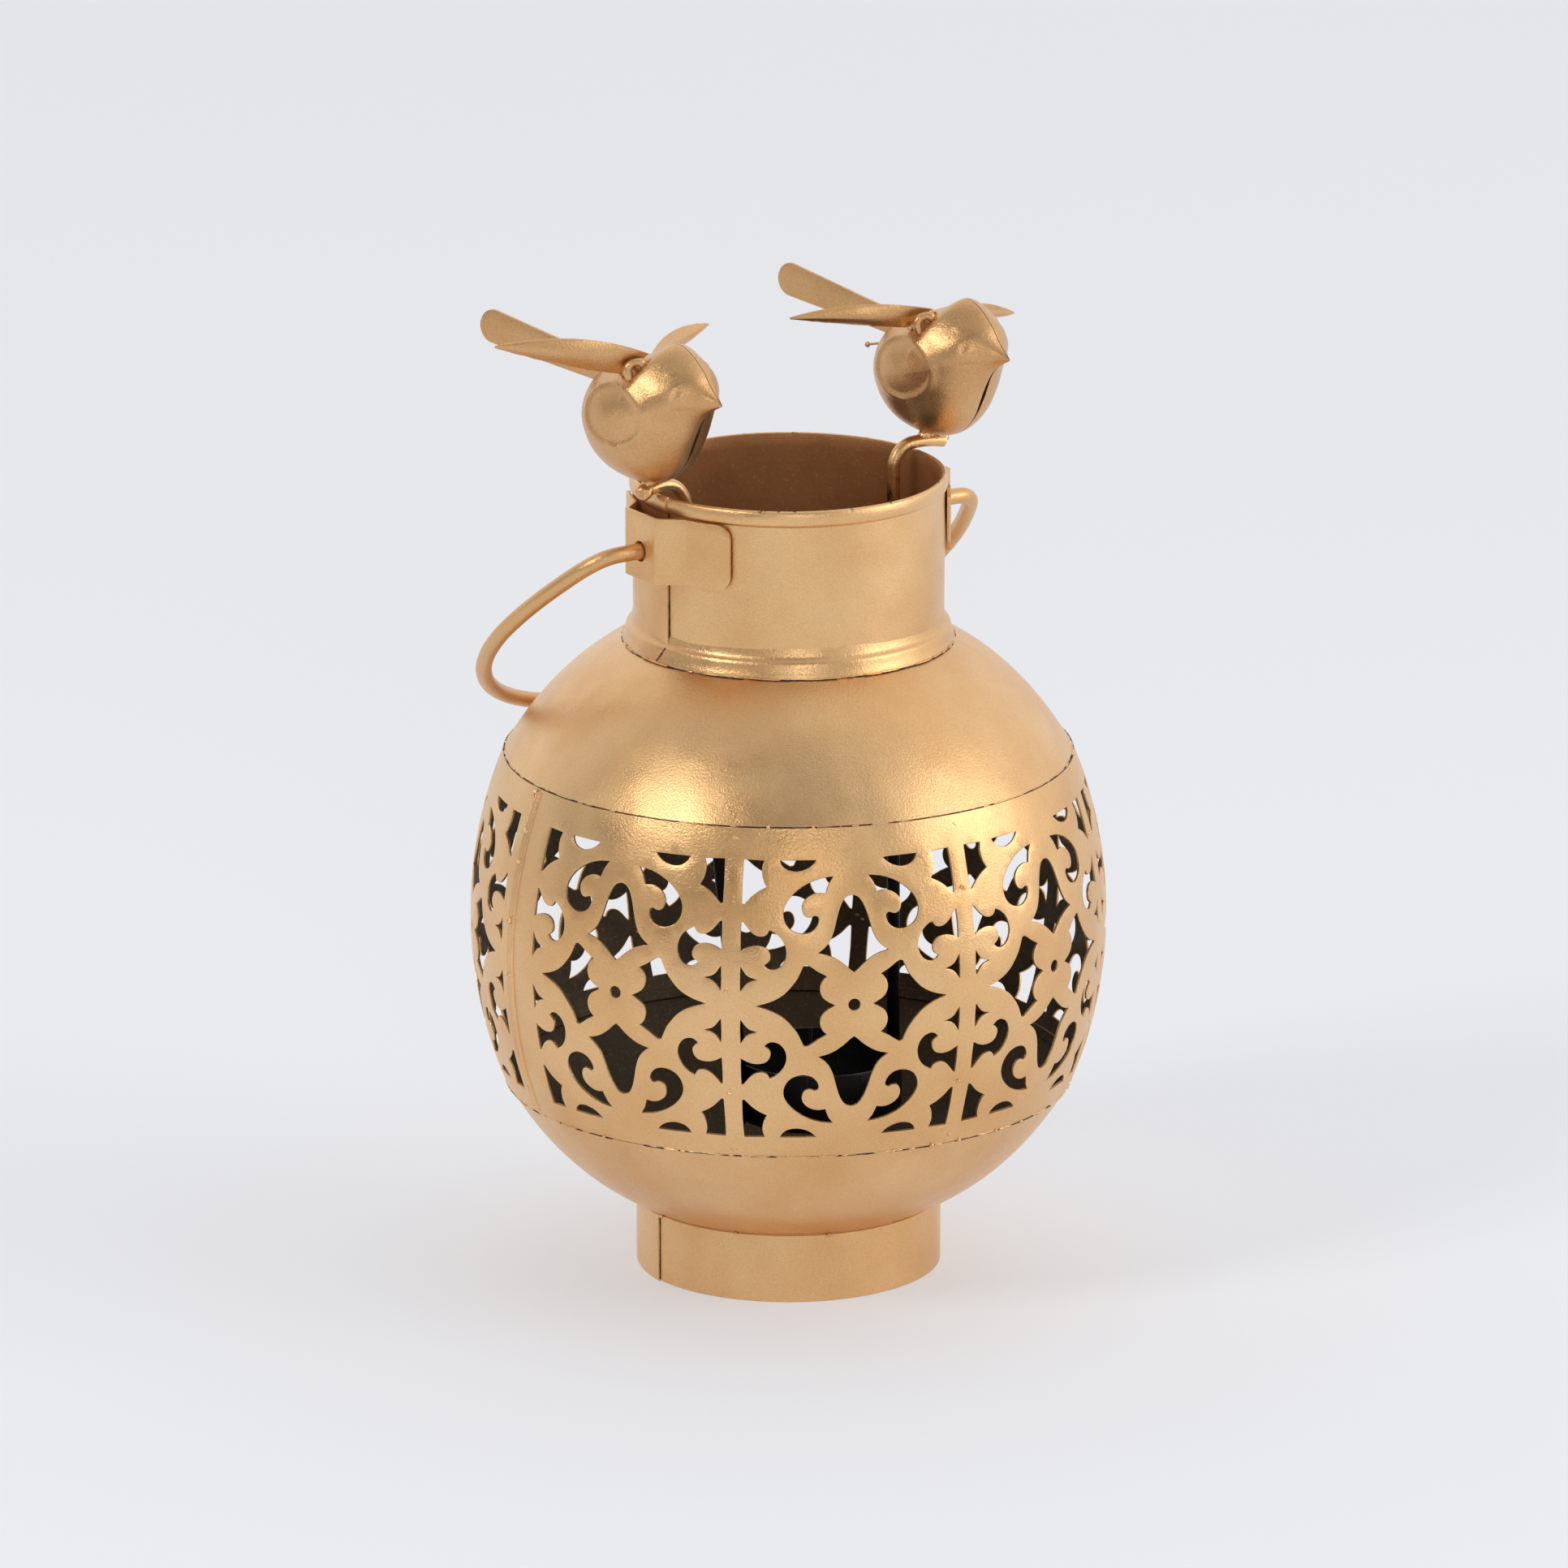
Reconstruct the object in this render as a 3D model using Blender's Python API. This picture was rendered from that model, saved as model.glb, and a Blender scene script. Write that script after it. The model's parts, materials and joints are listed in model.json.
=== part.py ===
"""Pierced metal globe lantern with a swinging bail handle and a lift-out tealight holder.

The globe stands on a short foot ring. Eight pierced panels form its band, between a lower
bowl and an upper dome. A wire handle swings in two strap brackets on the neck. Two wire
posts hook over the neck's rim, carry a tealight cup inside the globe, and bear a pair of
sheet-metal birds on their arches.

Lengths below are millimetres. Meshes are written in metres, +Z up, with the origin at the
centre of the foot's underside.
"""
import math

import bmesh
import bpy
from mathutils import Matrix, Vector
from mathutils.geometry import delaunay_2d_cdt

MM = 0.001
GAP = 0.35               # clearance kept between pieces that touch
SHEET = 0.9              # wall of the globe, neck and foot
TURN_SEGMENTS = 48       # facets round the turned pieces

# Foot, bowl and dome
FOOT_RADIUS = 47.4
FOOT_HEIGHT = 21.75
GLOBE_CENTRE_Z = 112.0
CAP_ARC_RADIUS = 83.8    # bowl and dome are one arc, turned about the lantern's axis
CAP_ARC_INSET = 12.2     # distance of the arc's centre from that axis
CAP_ARC_SHIFT = 13.85    # the arc's centre lies this far above or below the globe's centre
CAP_EDGE_Z = 52.6        # height of a cap's edge from the globe's centre, at the band's edge
CAP_LAP = 3.0            # depth that a cap runs on inside the band

# Pierced band: bulged sheet, drawn flat as millimetres round the equator and along the rise
BAND_RADIUS = 98.4
BAND_BULGE_RADIUS = 135.2
BAND_HALF_RISE = 53.3    # along the bulge, from the equator to the band's edge
LAP_GAP = 0.5
PANEL_COUNT = 8
PANEL_PITCH = math.radians(44.1)
FIRST_PANEL_ANGLE = math.radians(-32.4)   # from the front, -Y, towards +X
PANEL_HALF_WIDTH = 37.6
WIDE_HALF_WIDTH = 43.7   # the two panels at the band's lapped seam are wider on that side
PATTERN_CENTRE_RISE = -1.2
EDGE_STEPS = 11          # border points along a panel's top and bottom edge
SIDE_STEPS = 7           # border points along its two ends

# Neck
COLLAR_RADIUS = 48.1
COLLAR_BOTTOM = 199.0
RIM_Z = 252.4
HEM_HEIGHT = 4.6
HEM_RADIUS = 48.9
SKIRT_FOOT_RADIUS = 52.9
SKIRT_TOP_Z = 206.5

# Handle line: the brackets, the handle's pivot and both posts stand on this bearing
HANDLE_BEARING = math.radians(34.0)
PIVOT_Z = 235.3
BRACKET_BOTTOM = 226.5
BRACKET_TOP = 247.2
BRACKET_THICKNESS = 1.2
BRACKET_REACH = 54.7     # outer face of the bracket's loop, from the lantern's axis
LOOP_HALF_WIDTH = 8.6
LOOP_FOOT_ANGLE = math.radians(16.5)
BRACKET_HOLE_RADIUS = 3.2

HANDLE_WIRE_RADIUS = 2.5
HANDLE_HEAD_RADIUS = 3.6
HANDLE_REST_DROP = math.radians(39.0)     # below the horizontal, crown on the dome
HANDLE_HALF_SPAN = 80.5
HANDLE_CROWN_DEPTH = 73.5
HANDLE_CROWN_CENTRE = 46.0

# Tealight holder
POST_RADIUS = 2.0
# The two posts' wires as distance along the handle line and height, from the cup upwards
RIGHT_POST = [(39.3, 46.5), (39.3, 66.0), (39.3, 120.0), (39.2, 180.0), (39.0, 232.0)]
RIGHT_BEND_CENTRE = (46.5, 247.4)
RIGHT_BEND_RADIUS = 7.5
RIGHT_POST_END = [(50.0, 254.9), (54.0, 254.5), (57.5, 253.8)]
LEFT_POST = [(-18.3, 46.5), (-18.3, 66.0), (-24.3, 120.0), (-30.6, 180.0), (-36.2, 236.0),
             (-37.3, 245.6), (-38.9, 250.6), (-42.0, 253.9), (-46.2, 254.9), (-50.0, 254.4),
             (-53.4, 253.4)]
CUP_OFFSET = 10.5        # from the lantern's axis, along the handle line
CUP_RADIUS = 26.5
CUP_FLOOR_Z = 45.5
CUP_RIM_Z = 64.5
CUP_WALL = 0.8

# Birds, in a frame of their own: x forward, y to the bird's left, z up
BIRD_SKIN = 0.8
BIRD_HALF_WIDTH = 17.5
SEAM_GAP = 0.2
LEFT_BIRD_CENTRE = (-42.8, -29.0, 278.7)
RIGHT_BIRD_CENTRE = (46.1, 29.4, 278.3)
LEFT_BIRD_YAW = math.radians(-41.0)
RIGHT_BIRD_YAW = math.radians(-44.0)

GOLD = ((0.60, 0.37, 0.17), 1.0, 0.38)
BLACK = ((0.025, 0.022, 0.02), 0.3, 0.5)

# Cut-outs of one quarter of a panel, measured from the panel's centre: across, up.
CORNER_SLOT = [(27.1, 36.7), (31.8, 33.8), (34.6, 31.3), (34.6, 44.8), (28.0, 44.6), (28.7, 41.0)]
HALF_MOON = [(11.0, 44.7), (15.0, 41.9), (19.5, 41.7), (22.9, 44.7)]
C_SCROLL = [(10.7, 26.8), (13.4, 23.0), (19.0, 23.5), (21.7, 28.8), (18.6, 34.6),
            (5.7, 39.6), (8.4, 34.6), (13.6, 34.2), (16.0, 30.2), (12.6, 27.7)]
HOOK_SCROLL = [(27.4, 12.7), (23.6, 11.8), (20.8, 16.4), (22.6, 21.4), (26.0, 23.5),
               (29.2, 21.6), (34.6, 26.0), (34.6, 17.4), (29.2, 18.9), (25.5, 15.4)]
SIDE_TRIANGLE = [(29.6, 8.3), (33.2, 6.9), (34.6, 4.5), (34.6, 12.2)]

# Half of each cut-out that lies across one of the panel's centre lines.
BELL = [(0.0, 10.3), (5.7, 14.6), (11.0, 16.5), (6.9, 20.6), (4.4, 29.0), (1.9, 33.2)]
DIAMOND = [(5.9, 0.0), (10.5, 3.9), (8.4, 9.2), (14.8, 12.9), (19.4, 6.0), (30.1, 0.0)]
CENTRE_HOLE_RADIUS = 1.9
CENTRE_HOLE_SIDES = 6

# Side view of a bird's body, the line along which its two stamped halves meet: forward, up.
BIRD_OUTLINE = [(29.0, 6.8), (25.0, 13.6), (19.0, 20.0), (12.2, 23.4), (4.5, 19.9), (-5.0, 16.2),
                (-14.0, 12.8), (-20.2, 5.8), (-22.0, -3.0), (-18.4, -12.2), (-11.0, -18.6),
                (-1.0, -21.3), (8.0, -20.2), (14.8, -14.6), (18.8, -7.0), (21.4, 0.0), (23.0, 4.0)]
BEAK_INDICES = {0: 1.0, 1: 0.55, 16: 0.6, 2: 0.15, 15: 0.15}
DOME_STEPS = 5

# Each wing by points of its two edges: leading root and middle, trailing root and middle, tip
WINGS = {
    "left_bird_wing_right": ((5.5, -6.0, 20.6), (-5.0, -28.0, 27.6),
                             (-0.5, -12.2, 14.6), (-8.3, -30.0, 19.4), (-19.1, -50.0, 27.0)),
    "left_bird_wing_left": ((5.5, 6.0, 20.6), (-7.2, 26.6, 15.9),
                            (-1.0, 12.2, 14.8), (-16.1, 29.1, 16.5), (-18.4, 50.0, 15.3)),
    "right_bird_wing_right": ((3.2, -6.0, 19.8), (-7.8, -28.0, 23.0),
                              (-2.8, -11.5, 14.0), (-10.0, -30.0, 17.0), (-16.9, -50.0, 21.1)),
    "right_bird_wing_left": ((3.2, 6.0, 19.8), (-3.4, 26.3, 10.6),
                             (-2.8, 11.5, 14.2), (-9.5, 29.7, 12.8), (-13.9, 50.0, 5.4))}
WING_THICKNESS = 0.7
WING_CUP = 1.8
WING_STEPS = 8
WING_REACH = 0.97         # the leaf is blunt just short of where its edges meet
WING_PROBE = 0.02
WING_CHORDS = (0.0, 0.3, 0.65, 1.0)
# The tail blade's outline, forward and up in the bird's plane of symmetry
TAIL_ROOT = [(-20.5, 6.6), (-14.8, 13.1)]
TAIL_END = (-63.0, 16.4)
TAIL_SLOPE = math.radians(9.5)
TAIL_END_RADIUS = 5.2
TAIL_HALF_THICKNESS = 0.5


def clear_scene():
    for item in list(bpy.data.objects):
        bpy.data.objects.remove(item, do_unlink=True)


def make_material(name, finish):
    colour, metallic, roughness = finish
    material = bpy.data.materials.new(name)
    material.use_nodes = True
    shader = material.node_tree.nodes["Principled BSDF"]
    shader.inputs["Base Color"].default_value = (*colour, 1.0)
    shader.inputs["Metallic"].default_value = metallic
    shader.inputs["Roughness"].default_value = roughness
    return material


def add_piece(name, points, faces, finish=GOLD, origin=(0.0, 0.0, 0.0), parent=None):
    """Make one closed piece from points in millimetres; its object sits at the given origin."""
    base = Vector(origin)
    mesh = bpy.data.meshes.new(name)
    mesh.from_pydata([(Vector(point) - base) * MM for point in points], [], faces)
    shape = bmesh.new()
    shape.from_mesh(mesh)
    bmesh.ops.recalc_face_normals(shape, faces=shape.faces)
    shape.to_mesh(mesh)
    shape.free()
    mesh.shade_smooth()
    mesh.set_sharp_from_angle(angle=math.radians(35))
    mesh.materials.append(make_material(name + "_paint", finish))
    piece = bpy.data.objects.new(name, mesh)
    piece.location = base * MM
    piece.parent = parent
    bpy.context.scene.collection.objects.link(piece)
    return piece


def add_empty(name, location, yaw=0.0, parent=None):
    empty = bpy.data.objects.new(name, None)
    empty.location = Vector(location) * MM
    empty.rotation_euler = (0.0, 0.0, yaw)
    empty.parent = parent
    bpy.context.scene.collection.objects.link(empty)
    return empty


def smooth_path(points, steps):
    """Catmull-Rom curve through the given points, with end points repeated."""
    padded = [points[0], *points, points[-1]]
    path = []
    for before, start, end, after in zip(padded, padded[1:], padded[2:], padded[3:]):
        for step in range(steps):
            t = step / steps
            path.append(tuple(
                0.5 * (2 * b + (c - a) * t + (2 * a - 5 * b + 4 * c - d) * t ** 2
                       + (3 * b - 3 * c + d - a) * t ** 3)
                for a, b, c, d in zip(before, start, end, after)))
    path.append(tuple(points[-1]))
    return path


# --- Turned pieces -------------------------------------------------------------------------

def add_turned(name, loop, centre=(0.0, 0.0), finish=GOLD, parent=None):
    """Turn a closed loop of (radius, height) about a vertical axis."""
    points = []
    rings = []
    for radius, height in loop:
        if radius == 0.0:
            rings.append([len(points)] * TURN_SEGMENTS)
            points.append((centre[0], centre[1], height))
            continue
        rings.append(list(range(len(points), len(points) + TURN_SEGMENTS)))
        for segment in range(TURN_SEGMENTS):
            angle = 2 * math.pi * segment / TURN_SEGMENTS
            points.append((centre[0] + radius * math.cos(angle),
                           centre[1] + radius * math.sin(angle), height))
    faces = []
    for lower, upper in zip(rings, rings[1:] + rings[:1]):
        if lower[0] == lower[1] and upper[0] == upper[1]:
            continue
        for segment in range(TURN_SEGMENTS):
            following = (segment + 1) % TURN_SEGMENTS
            corners = [lower[segment], lower[following], upper[following], upper[segment]]
            faces.append(list(dict.fromkeys(corners)))
    return add_piece(name, points, faces, finish, parent=parent)


def band_radius(height, depth):
    """Radius of the band's surface at a height, measured a depth below its outer face."""
    rise = height - GLOBE_CENTRE_Z
    return (BAND_RADIUS - BAND_BULGE_RADIUS
            + math.sqrt((BAND_BULGE_RADIUS - depth) ** 2 - rise ** 2))


def cap_arc(start_rise, end_radius, depth, steps):
    """Points of a cap's arc above the globe's centre, from its edge in towards the axis."""
    radius = CAP_ARC_RADIUS - depth
    start = math.asin((start_rise - CAP_ARC_SHIFT) / radius)
    end = math.acos((end_radius - CAP_ARC_INSET) / radius)
    arc = []
    for step in range(steps + 1):
        angle = start + (end - start) * step / steps
        arc.append((CAP_ARC_INSET + radius * math.cos(angle),
                    CAP_ARC_SHIFT + radius * math.sin(angle)))
    return arc


def cap_loop(end_radius, steps, closed):
    """Closed loop of a cap: its outer skin with the lap inside the band, then its inner skin."""
    lap_rise = CAP_EDGE_Z - CAP_LAP
    lap_radius = band_radius(GLOBE_CENTRE_Z + lap_rise, SHEET) - LAP_GAP
    outer = [(lap_radius, lap_rise)] + cap_arc(CAP_EDGE_Z, end_radius, 0.0, steps)
    inner = [(lap_radius - SHEET, lap_rise)] + cap_arc(CAP_EDGE_Z, end_radius, SHEET, steps)
    if closed:
        outer.append((0.0, outer[-1][1]))
        inner.append((0.0, inner[-1][1]))
    return outer + inner[::-1]


def add_globe_caps():
    dome = cap_loop(COLLAR_RADIUS + LAP_GAP, 5, closed=False)
    add_turned("upper_dome", [(radius, GLOBE_CENTRE_Z + rise) for radius, rise in dome])
    bowl = cap_loop(CAP_ARC_INSET + 0.01, 7, closed=True)
    add_turned("lower_bowl", [(radius, GLOBE_CENTRE_Z - rise) for radius, rise in bowl])


def add_foot():
    inner = FOOT_RADIUS - SHEET
    add_turned("foot_ring", [(FOOT_RADIUS, 0.0), (FOOT_RADIUS, FOOT_HEIGHT),
                             (inner, FOOT_HEIGHT - 0.45), (inner, 0.0)])


def add_neck():
    inner = COLLAR_RADIUS - SHEET
    hem_start = RIM_Z - HEM_HEIGHT
    add_turned("neck_collar", [(COLLAR_RADIUS, COLLAR_BOTTOM), (COLLAR_RADIUS, hem_start - 0.4),
                               (HEM_RADIUS, hem_start + 0.2), (HEM_RADIUS, RIM_Z - 0.5),
                               (HEM_RADIUS - 0.5, RIM_Z), (inner + 0.3, RIM_Z),
                               (inner - 0.1, RIM_Z - 0.6), (inner, hem_start),
                               (inner, COLLAR_BOTTOM)])
    bore = COLLAR_RADIUS + GAP
    add_turned("neck_skirt", [(SKIRT_FOOT_RADIUS, 199.55), (SKIRT_FOOT_RADIUS, 200.1),
                              (50.7, 202.0), (49.6, 204.4), (49.4, SKIRT_TOP_Z),
                              (bore, SKIRT_TOP_Z), (bore, 204.2), (49.7, 201.5),
                              (51.4, 200.55)])


# --- Pierced band --------------------------------------------------------------------------

def panel_point(across, rise, depth, centre_angle):
    """Bend a flat drawing point onto the band, a depth below its outer face."""
    angle = centre_angle + across / BAND_RADIUS
    tilt = rise / BAND_BULGE_RADIUS
    radius = BAND_RADIUS - BAND_BULGE_RADIUS + (BAND_BULGE_RADIUS - depth) * math.cos(tilt)
    height = GLOBE_CENTRE_Z + (BAND_BULGE_RADIUS - depth) * math.sin(tilt)
    return (radius * math.sin(angle), -radius * math.cos(angle), height)


def panel_cutouts():
    """All cut-outs of one panel, as closed outlines about the pattern's centre."""
    cutouts = []
    for outline in (CORNER_SLOT, HALF_MOON, C_SCROLL, HOOK_SCROLL, SIDE_TRIANGLE):
        for side in (1, -1):
            for end in (1, -1):
                cutouts.append([(side * across, end * rise) for across, rise in outline])
    bell = BELL + [(-across, rise) for across, rise in BELL[:0:-1]]
    diamond = DIAMOND + [(across, -rise) for across, rise in DIAMOND[-2:0:-1]]
    for sign in (1, -1):
        cutouts.append([(across, sign * rise) for across, rise in bell])
        cutouts.append([(sign * across, rise) for across, rise in diamond])
    turn = 2 * math.pi / CENTRE_HOLE_SIDES
    cutouts.append([(CENTRE_HOLE_RADIUS * math.cos(turn * side),
                     CENTRE_HOLE_RADIUS * math.sin(turn * side))
                    for side in range(CENTRE_HOLE_SIDES)])
    return [[(across, rise + PATTERN_CENTRE_RISE) for across, rise in outline]
            for outline in cutouts]


def panel_border(left, right):
    """Outline of a panel, with points close enough to follow the bulge."""
    step = (right - left) / EDGE_STEPS
    bottom = [(left + step * index, -BAND_HALF_RISE) for index in range(EDGE_STEPS)]
    rises = [BAND_HALF_RISE * (2 * index / SIDE_STEPS - 1) for index in range(SIDE_STEPS)]
    right_side = [(right, rise) for rise in rises]
    top = [(right - step * index, BAND_HALF_RISE) for index in range(EDGE_STEPS)]
    left_side = [(left, -rise) for rise in rises]
    return bottom + right_side + top + left_side


def inside(point, outline):
    """True where a point lies inside a closed outline."""
    hit = False
    for (ax, ay), (bx, by) in zip(outline, outline[1:] + outline[:1]):
        if (ay > point[1]) != (by > point[1]):
            if point[0] < ax + (bx - ax) * (point[1] - ay) / (by - ay):
                hit = not hit
    return hit


def pierced_faces(outlines):
    """Triangles between the first outline and the rest, as indices into their joined points."""
    points = [point for outline in outlines for point in outline]
    edges = []
    first = 0
    for outline in outlines:
        count = len(outline)
        edges += [(first + index, first + (index + 1) % count) for index in range(count)]
        first += count
    flat, _, triangles, origins, _, _ = delaunay_2d_cdt(
        [Vector(point) for point in points], edges, [list(range(len(outlines[0])))], 1, 1e-6)
    kept = []
    for triangle in triangles:
        centre = sum((flat[index] for index in triangle), Vector((0.0, 0.0))) / 3
        if not any(inside(centre, outline) for outline in outlines[1:]):
            kept.append([origins[index][0] for index in triangle])
    return points, edges, kept


def add_pierced_panels():
    cutouts = panel_cutouts()
    for number in range(PANEL_COUNT):
        left = WIDE_HALF_WIDTH if number == 0 else PANEL_HALF_WIDTH
        right = WIDE_HALF_WIDTH if number == PANEL_COUNT - 1 else PANEL_HALF_WIDTH
        points, edges, triangles = pierced_faces([panel_border(-left, right)] + cutouts)
        centre_angle = FIRST_PANEL_ANGLE + number * PANEL_PITCH
        outer = [panel_point(across, rise, 0.0, centre_angle) for across, rise in points]
        inner = [panel_point(across, rise, SHEET, centre_angle) for across, rise in points]
        back = len(points)
        faces = list(triangles)
        faces += [[index + back for index in reversed(triangle)] for triangle in triangles]
        faces += [[start, start + back, end + back, end] for start, end in edges]
        add_piece(f"pierced_panel_{number + 1}", outer + inner, faces)


# --- Sheet and wire pieces -----------------------------------------------------------------

def add_sheet(name, front, back, finish=GOLD, parent=None):
    """Close two matching grids of points into one sheet with walls round its four edges."""
    rows, columns = len(front), len(front[0])
    points = [point for row in front for point in row] + [point for row in back for point in row]
    offset = rows * columns
    faces = []
    for row in range(rows - 1):
        for column in range(columns - 1):
            corner = row * columns + column
            quad = [corner, corner + 1, corner + columns + 1, corner + columns]
            faces.append(quad)
            faces.append([index + offset for index in reversed(quad)])
    rim = list(range(columns))
    rim += [row * columns + columns - 1 for row in range(1, rows)]
    rim += [(rows - 1) * columns + column for column in range(columns - 2, -1, -1)]
    rim += [row * columns for row in range(rows - 2, 0, -1)]
    for start, end in zip(rim, rim[1:] + rim[:1]):
        faces.append([start, end, end + offset, start + offset])
    return add_piece(name, points, faces, finish, parent=parent)


def add_tube(name, path, radii, side, sides, finish=GOLD, origin=(0.0, 0.0, 0.0), parent=None):
    """Sweep a round wire along a path that lies in the plane square to the side vector."""
    side = Vector(side).normalized()
    points = []
    faces = []
    for index, place in enumerate(path):
        ahead = Vector(path[min(index + 1, len(path) - 1)])
        behind = Vector(path[max(index - 1, 0)])
        across = side.cross((ahead - behind).normalized())
        for corner in range(sides):
            angle = 2 * math.pi * corner / sides
            points.append(Vector(place) + radii[index] * (math.cos(angle) * across
                                                          + math.sin(angle) * side))
    for ring in range(len(path) - 1):
        for corner in range(sides):
            following = (corner + 1) % sides
            faces.append([ring * sides + corner, ring * sides + following,
                          (ring + 1) * sides + following, (ring + 1) * sides + corner])
    faces.append(list(range(sides)))
    faces.append(list(range((len(path) - 1) * sides, len(path) * sides)))
    return add_piece(name, points, faces, finish, origin, parent)


def handle_line(distance, height):
    """Point on the handle line: distance along its bearing from the axis, and height."""
    return (distance * math.cos(HANDLE_BEARING), distance * math.sin(HANDLE_BEARING), height)


def bracket_plan():
    """Half of the strap's outer face in plan, tab end first: (across, out, corner inset)."""
    radius = COLLAR_RADIUS + LAP_GAP + BRACKET_THICKNESS
    plan = []
    for angle, inset in ((35.0, 3.4), (34.2, 1.4), (32.4, 0.2), (26.0, 0.0), (21.0, 0.0)):
        share = math.radians(angle)
        plan.append((radius * math.sin(share), radius * math.cos(share), inset))
    plan.append((radius * math.sin(LOOP_FOOT_ANGLE), radius * math.cos(LOOP_FOOT_ANGLE), 0.0))
    plan.append((LOOP_HALF_WIDTH, BRACKET_REACH - 0.3, 0.0))
    return plan


def offset_plan(plan, distance):
    """Move an open line sideways to its left by a distance, mitred at its corners."""
    moved = []
    for index, (across, out, inset) in enumerate(plan):
        before = Vector(plan[max(index - 1, 0)][:2])
        after = Vector(plan[min(index + 1, len(plan) - 1)][:2])
        here = Vector((across, out))
        first = (here - before).normalized() if here != before else (after - here).normalized()
        last = (after - here).normalized() if after != here else first
        normal = Vector((-(first + last).y, (first + last).x)).normalized()
        stretch = max(normal.dot(Vector((-first.y, first.x))), 0.5)
        shift = here + normal * (distance / stretch)
        moved.append((shift.x, shift.y, inset))
    return moved


def add_bracket(name, direction):
    bearing = HANDLE_BEARING if direction > 0 else HANDLE_BEARING + math.pi
    half = bracket_plan()
    outer = half + [(0.0, BRACKET_REACH, 0.0)]
    outer += [(-across, out, inset) for across, out, inset in reversed(half)]
    inner = offset_plan(outer, BRACKET_THICKNESS)
    out_axis = Vector((math.cos(bearing), math.sin(bearing), 0.0))
    cross_axis = Vector((-math.sin(bearing), math.cos(bearing), 0.0))
    grids = []
    for plan in (outer, inner):
        rows = [[], []]
        for across, out, inset in plan:
            place = out_axis * out + cross_axis * across
            rows[0].append((place.x, place.y, BRACKET_BOTTOM + inset))
            rows[1].append((place.x, place.y, BRACKET_TOP - inset))
        grids.append(rows)
    bracket = add_sheet(name, grids[0], grids[1])
    drill_hole(bracket, out_axis * (BRACKET_REACH - 0.6) + Vector((0.0, 0.0, PIVOT_Z)), out_axis)


def drill_hole(piece, centre, axis):
    """Bore the handle's hole through a bracket with a Boolean cutter."""
    shape = bmesh.new()
    bmesh.ops.create_cone(shape, cap_ends=True, segments=16, radius1=BRACKET_HOLE_RADIUS * MM,
                          radius2=BRACKET_HOLE_RADIUS * MM, depth=6.0 * MM)
    mesh = bpy.data.meshes.new(piece.name + "_drill")
    shape.to_mesh(mesh)
    shape.free()
    drill = bpy.data.objects.new(piece.name + "_drill", mesh)
    turn = Vector((0.0, 0.0, 1.0)).rotation_difference(axis).to_matrix().to_4x4()
    drill.matrix_world = Matrix.Translation(centre * MM) @ turn
    drill.hide_render = True
    drill.display_type = "WIRE"
    bpy.context.scene.collection.objects.link(drill)
    cut = piece.modifiers.new("handle_hole", "BOOLEAN")
    cut.operation = "DIFFERENCE"
    cut.solver = "EXACT"
    cut.object = drill


def handle_half_path():
    """Half of the bail in its own plane, head first: (along the pivot, away from the pivot)."""
    path = [(50.2, 0.0), (50.6, 0.0), (52.4, 0.0), (52.8, 0.0), (53.0, 0.0), (61.5, 0.0),
            (66.2, 1.0), (70.4, 5.2), (73.6, 12.0), (77.4, 24.0), (79.6, 35.0)]
    for step in range(13):
        angle = math.pi / 2 * step / 12
        path.append((HANDLE_HALF_SPAN * math.cos(angle),
                     HANDLE_CROWN_CENTRE + HANDLE_CROWN_DEPTH * math.sin(angle)))
    return path


def add_handle():
    pivot = Vector((0.0, 0.0, PIVOT_Z))
    along = Vector(handle_line(1.0, 0.0))
    back = Vector((-along.y, along.x, 0.0))
    down = math.sin(HANDLE_REST_DROP)
    away = back * math.cos(HANDLE_REST_DROP) - Vector((0.0, 0.0, down))
    half = handle_half_path()
    whole = half + [(-a, b) for a, b in reversed(half[:-1])]
    path = [pivot + along * a + away * b for a, b in whole]
    head = [HANDLE_HEAD_RADIUS - 0.7, HANDLE_HEAD_RADIUS, HANDLE_HEAD_RADIUS,
            HANDLE_HEAD_RADIUS - 0.7]
    wire = [HANDLE_WIRE_RADIUS] * (len(whole) - 2 * len(head))
    add_tube("carry_handle", path, head + wire + head[::-1], along.cross(away), 8,
             origin=pivot)


def add_tealight_holder(holder):
    side = Vector(handle_line(1.0, 0.0)).cross(Vector((0.0, 0.0, 1.0)))
    bend = [math.radians(180.0 - 18.0 * step) for step in range(6)]
    right = RIGHT_POST + [(RIGHT_BEND_CENTRE[0] + RIGHT_BEND_RADIUS * math.cos(angle),
                           RIGHT_BEND_CENTRE[1] + RIGHT_BEND_RADIUS * math.sin(angle))
                          for angle in bend] + RIGHT_POST_END
    for name, path in (("right_post", right), ("left_post", LEFT_POST)):
        places = [handle_line(distance, height) for distance, height in path]
        add_tube(name, places, [POST_RADIUS] * len(places), side, 10, parent=holder)
    bore = CUP_RADIUS - CUP_WALL
    loop = [(0.0, CUP_FLOOR_Z), (CUP_RADIUS - 1.2, CUP_FLOOR_Z), (CUP_RADIUS, CUP_FLOOR_Z + 1.2),
            (CUP_RADIUS, CUP_RIM_Z), (bore, CUP_RIM_Z), (bore, CUP_FLOOR_Z + 1.6),
            (bore - 0.8, CUP_FLOOR_Z + CUP_WALL), (0.0, CUP_FLOOR_Z + CUP_WALL)]
    add_turned("candle_cup", loop, handle_line(CUP_OFFSET, 0.0)[:2], BLACK, holder)


# --- Birds ---------------------------------------------------------------------------------

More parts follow.
